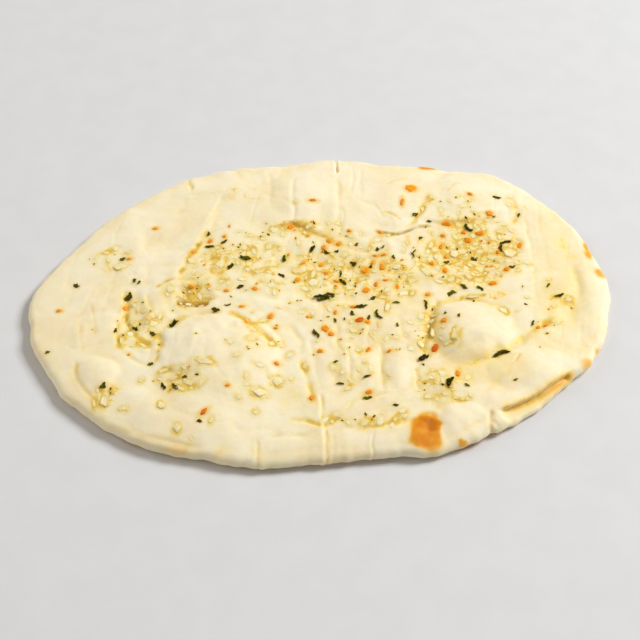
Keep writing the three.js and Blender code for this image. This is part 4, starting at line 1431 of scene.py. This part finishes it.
# %% Stained and browned areas
BUTTERY = [  # middle, half length, half width, strength
    ((-38, 20), 42, 30, 0.40), ((12, 8), 44, 36, 0.42), ((74, 26), 36, 34, 0.62),
    ((72, 14), 20, 18, 0.12), ((92, 30), 14, 18, 0.2), ((-86, -22), 15, 24, 0.45),
    ((-62, -3), 13, 10, 0.7), ((-64, -56), 15, 8, 0.5), ((-97, -65), 6, 9, 0.6),
    ((24, -76), 28, 7, 0.26), ((54, -60), 18, 11, 0.5), ((-26, -30), 14, 16, 0.35),
    ((51, -24), 9, 24, 0.36), ((84, -4), 12, 10, 0.5), ((-12, 43), 20, 7, 0.55),
    ((-100, 18), 14, 12, 0.25), ((20, -42), 32, 20, 0.25), ((76, 64), 24, 10, 0.3),
    ((-46, 66), 6, 5, 0.5), ((-61, -90), 5, 3, 0.5), ((-45, -94), 4, 3, 0.5), ((42, 6), 34, 30, 0.2),
    ((-88, -71), 7, 5, 0.25), ((100, -28), 18, 8, 0.3), ((116, -3), 9, 6, 0.35),
    ((84, -42), 20, 6, 0.3), ((121, 31), 4, 8, 0.4), ((100, 60), 4, 9, 0.4), ((-105, 26), 6, 4, 0.4),
    ((-27, -63), 8, 5, 0.5), ((-52, -48), 9, 4, 0.4), ((-19, -56), 6, 6, 0.4),
    ((110, -2), 14, 24, 0.16), ((8, 40), 12, 8, 0.3), ((53, 60), 5, 9, 0.4), ((-8, -60), 10, 14, 0.2),
    ((-95, 14), 12, 8, 0.25), ((-58, -35), 8, 8, 0.1), ((-25, -93), 3, 4, 0.2), ((83, -4), 7, 6, 0.4),
]
WARMED_AND_SHADED = [      # the same, where the dough is only warmer and holds no garlic: painted shade, as on the right flank and the left side of the right bubble, and a warmer tone of the dough
    ((119, 4), 20, 48, 0.42), ((118, 50), 20, 30, 0.26), ((121, 31), 5, 9, 0.4),
    ((76, -48), 28, 14, 0.42), ((54, -20), 7, 16, 0.25), ((-8, -62), 16, 12, 0.16),
    ((-100, 0), 14, 16, 0.12), ((-46, -62), 30, 10, 0.12), ((104, -34), 22, 8, 0.2),
    ((12, 56), 12, 30, 0.10), ((-62, 60), 20, 20, 0.10),
]
BROWNED = [
    ((45.8, -83), 9.0, 9.8, 0.56), ((47.4, -75.5), 5.0, 4.2, 0.34), ((50.6, -79.6), 4.6, 3.4, 0.5),
    ((63.5, -87.5), 5, 2, 0.38), ((57, 92.5), 7, 3.4, 0.5), ((133.5, 31), 3.2, 9, 0.42),
    ((138, 14), 4, 4.5, 0.36), ((125, -44), 6, 4.0, 0.3), ((130, -37), 3, 4, 0.3),
    ((-61, -91), 4, 1.8, 0.16), ((-45, -94), 2.4, 2, 0.1), ((-46, 66), 3, 3, 0.12),
]
POOLED_AND_SHADED = [      # butter so deep that it is brown, and painted shade in deep creases and in the pocket by the large bubble
    ((-61, -8), 8, 4.6, 1.3), ((-63.5, -9), 5, 3.4, 0.7), ((-64, -1), 4, 5, 0.35),
    ((55, -13), 3, 7, 0.3), ((51.5, -20), 2.6, 5, 0.3), ((-91.5, -12), 2.2, 8, 0.35),
    ((-75, -36), 2.2, 7, 0.25), ((-64, -56), 9, 3, 0.25), ((-99, -65), 3, 5, 0.3),
    ((20, -76), 12, 2, 0.2), ((86, 18), 14, 8, 0.10), ((96, 24), 5, 9, 0.3), ((-52, 27), 8, 10, 0.14),
    ((83, -4), 5, 4, 0.3), ((4, 8), 10, 8, 0.16), ((-30, 14), 8, 5, 0.14), ((56, -62), 8, 6, 0.14),
]
print("areas:", len(BUTTERY), "buttery,", len(WARMED_AND_SHADED), "warm,", len(BROWNED), "browned")

# %% Broad stains
x, y, z = (naan_spots / MM).T
facing = np.array([v.normal.z for v in naan_mesh.vertices])
browning = np.zeros(len(x))
spread_x = x + 6 * swell(x, y, 17, 34) + 2.5 * swell(x, y, 6, 35)
spread_y = y + 6 * swell(x, y, 17, 36) + 2.5 * swell(x, y, 6, 37)


def washed(zones):
    """The sum of soft ellipses with ragged edges."""
    total = np.zeros(len(x))
    for middle, long, wide, strength in zones:
        away = np.hypot((spread_x - middle[0]) / long, (spread_y - middle[1]) / wide)
        total += strength * smooth(1 - away) ** 0.8
    return total


def fall_off(away, width):
    """Falls from 1 to 0 as away leaves 0, within about width."""
    return np.exp(-((away / width) ** 2))


butter = washed(BUTTERY) * (0.75 + 0.5 * swell(x, y, 7, 31))
strewn = smooth((butter - 0.1) / 0.4)
# These warmer zones are partly painted shade. They add to the butter's gold and to the warm tint.
warmed_and_shaded = washed(WARMED_AND_SHADED)
butter = 0.55 * butter + 0.6 * warmed_and_shaded
seep_and_shade = 0.8 * washed(POOLED_AND_SHADED) * (0.7 + 0.6 * swell(x, y, 3, 38))
print("stained by broad areas:", f"{(butter > 0.1).mean():.0%}", "of the vertices")

# %% What creases and toppings hold
CREASE_BUTTER = 0.75
CREASE_SEEP_AND_SHADE = 0.85
PIECE_SEEP = 0.15       # the faint brown line round a topping

wavy_x, wavy_y = waver(x, y)
# Each crease gets a golden halo of butter and a dark line at its bottom: seeped butter and painted crease
# shade.
for points, depth, width, crease_butter, crease_line in CREASES:
    near, side, along = stroke(wavy_x, wavy_y, points, 5 * width)
    hold = fade_ends(along, 0.12) * (0.85 + 0.5 * swell(x[near], y[near], 4, 33))
    butter[near] += CREASE_BUTTER * crease_butter * hold * fall_off(side, width + 0.55)
    seep_and_shade[near] += CREASE_SEEP_AND_SHADE * crease_line * hold * fall_off(side, 0.3 * width + 0.45)
for sx, sy, long, wide, turn, strength, glow in stains:
    near = np.flatnonzero((np.abs(x - sx) < long + 3) & (np.abs(y - sy) < long + 3))
    dx, dy = x[near] - sx, y[near] - sy
    u = dx * math.cos(turn) + dy * math.sin(turn)
    v = dy * math.cos(turn) - dx * math.sin(turn)
    outside = (np.hypot(u / long, v / wide) - 1) * min(long, wide)
    butter[near] += strength * fall_off(np.clip(outside, 0, None), 1.0)
    seep_and_shade[near] += PIECE_SEEP * strength * fall_off(outside - 0.2, 0.7)
    browning[near] += glow * fall_off(np.clip(outside, 0, None), 0.9)
print("toppings that stain the dough:", len(stains))

# %% Browned patches, the lip and the sole
BROWNED_SQUARE = 3.4    # how square the browned patches are: 2 is an ellipse

ragged_x = x + 1.1 * swell(x, y, 6, 41, turn=33) + 0.5 * swell(x, y, 2.6, 43, turn=10)
ragged_y = y + 1.1 * swell(x, y, 6, 42, turn=58) + 0.5 * swell(x, y, 2.6, 44, turn=70)
for middle, long, wide, strength in BROWNED:
    browning += strength * blot(ragged_x, ragged_y, middle, long, wide, BROWNED_SQUARE)
# The lip's seam is browned and buttered. Its dark line is painted shade under the overhanging roll.
near, side, along = stroke(x, y, LIP_SEAM, 6)
ends = fade_ends(along, LIP_FADE)
browning[near] += (0.12 + 0.32 * along) * fall_off(side + 0.2 + along, 0.7 + 1.3 * along) * ends
butter[near] += 0.45 * fall_off(side - 0.4, 2.2) * ends
seep_and_shade[near] += 0.4 * fall_off(side + 0.1, 0.8) * ends
browning *= smooth((z - 1) / 4)
underneath = 1 - smooth((facing + 0.75) / 0.4)
sole_spots = smooth(swell(x, y, 17, 51) * 0.8 + swell(x, y, 7, 52) * 0.45 + 0.15)
browning += underneath * (0.16 + 0.6 * sole_spots**2)
print("browned above half:", f"{(browning > 0.5).mean():.1%}", "of the vertices")

# %% Hollows, painted shade in them, and writing the values into the mesh
HOLLOW_REACH = 5        # a spot is in a hollow if the crust this far away is higher, in mm
HOLLOW_DEEP = 1.1       # how much higher it is round the deepest hollows
HOLLOW_BUTTER_AND_SHADE = 0.25    # how much more golden the hollows are made: butter that stands there, and painted shade

# A spot lower than the crust round it is painted warmer and more golden: painted shade.
around = [crust_height(x + dx, y + dy) for dx, dy in ((HOLLOW_REACH, 0), (-HOLLOW_REACH, 0),
                                                      (0, HOLLOW_REACH), (0, -HOLLOW_REACH))]
hollow = np.clip((sum(around) / 4 - crust_height(x, y)) / HOLLOW_DEEP, 0, 1)
on_top = smooth((facing + 0.2) / 0.5)
masks = {
    "butter": (butter + HOLLOW_BUTTER_AND_SHADE * hollow) * on_top,
    "strewn": strewn * on_top,
    "seep_and_shade": seep_and_shade * on_top,
    "warmth_and_shade": (hollow + 2.2 * warmed_and_shaded) * on_top,
    "browning": browning,
}
for name, values in masks.items():
    layer = naan_mesh.attributes.new(name, "FLOAT", "POINT")
    layer.data.foreach_set("value", np.clip(values, 0, 1).astype(np.float32))
    print(name, "up to", values.max().round(2))

# %% [markdown]
# ## Where each spot of the skin lies on a flat map
#
# A piece whose finish is baked to a picture needs a flat map. The dough is nearly flat itself,
# so the crust is mapped as seen from above and the sole as seen from below, side by side.

# %% Flat map of the dough
CRUST_CORNER = np.array((0.01, 0.01))    # where the crust's map begins, and how large it is
CRUST_SIZE = (0.98, 0.665)
SOLE_CORNER = np.array((0.01, 0.69))
SOLE_SIZE = (0.44, 0.30)


def map_flat(mesh):
    """Lays the crust and the sole side by side on the unit square."""
    layer = mesh.uv_layers.new(name="OFBake")
    corner_vertex = np.empty(len(mesh.loops), int)
    mesh.loops.foreach_get("vertex_index", corner_vertex)
    face_up = np.array([p.normal.z > -0.3 for p in mesh.polygons])
    corner_up = np.repeat(face_up, [p.loop_total for p in mesh.polygons])
    spot = naan_spots[corner_vertex, :2]
    lowest, highest = naan_spots[:, :2].min(0), naan_spots[:, :2].max(0)
    share = (spot - lowest) / (highest - lowest)
    crust = CRUST_CORNER + share * CRUST_SIZE
    under = SOLE_CORNER + share * SOLE_SIZE
    uv = np.where(corner_up[:, None], crust, under)
    layer.data.foreach_set("uv", uv.astype(np.float32).ravel())


map_flat(naan_mesh)
print("flat map corners:", len(naan_mesh.loops))

# %% [markdown]
# ## The floor
#
# A plain pale floor, so that the bread's soft shadow shows where it touches. It is one large
# square with a faint mottle, because a perfectly even floor looks like an empty picture. It
# belongs to the stage and isn't a part of the bread.

# %% Floor
FLOOR_HALF = 3.0       # metres from its middle to its edge

floor_mesh = bpy.data.meshes.new("floor")
floor_bm = bmesh.new()
bmesh.ops.create_grid(floor_bm, x_segments=1, y_segments=1, size=FLOOR_HALF)
floor_bm.to_mesh(floor_mesh)
floor_bm.free()
floor = bpy.data.objects.new("floor", floor_mesh)
scene.collection.objects.link(floor)
floor_finish, tree, shader, place = start_material("pale_floor")
speckle = drifting(tree, place, Scale=60.0, Detail=3.0, Low=0.3, High=0.7)
floor_colour = mix_colours(tree, speckle, (0.69, 0.71, 0.75), (0.71, 0.73, 0.77))
tree.links.new(floor_colour, shader.inputs["Base Color"])
set_sockets(shader, {"Roughness": 0.7})
floor_mesh.materials.append(floor_finish)
print("floor:", 2 * FLOOR_HALF, "m across")
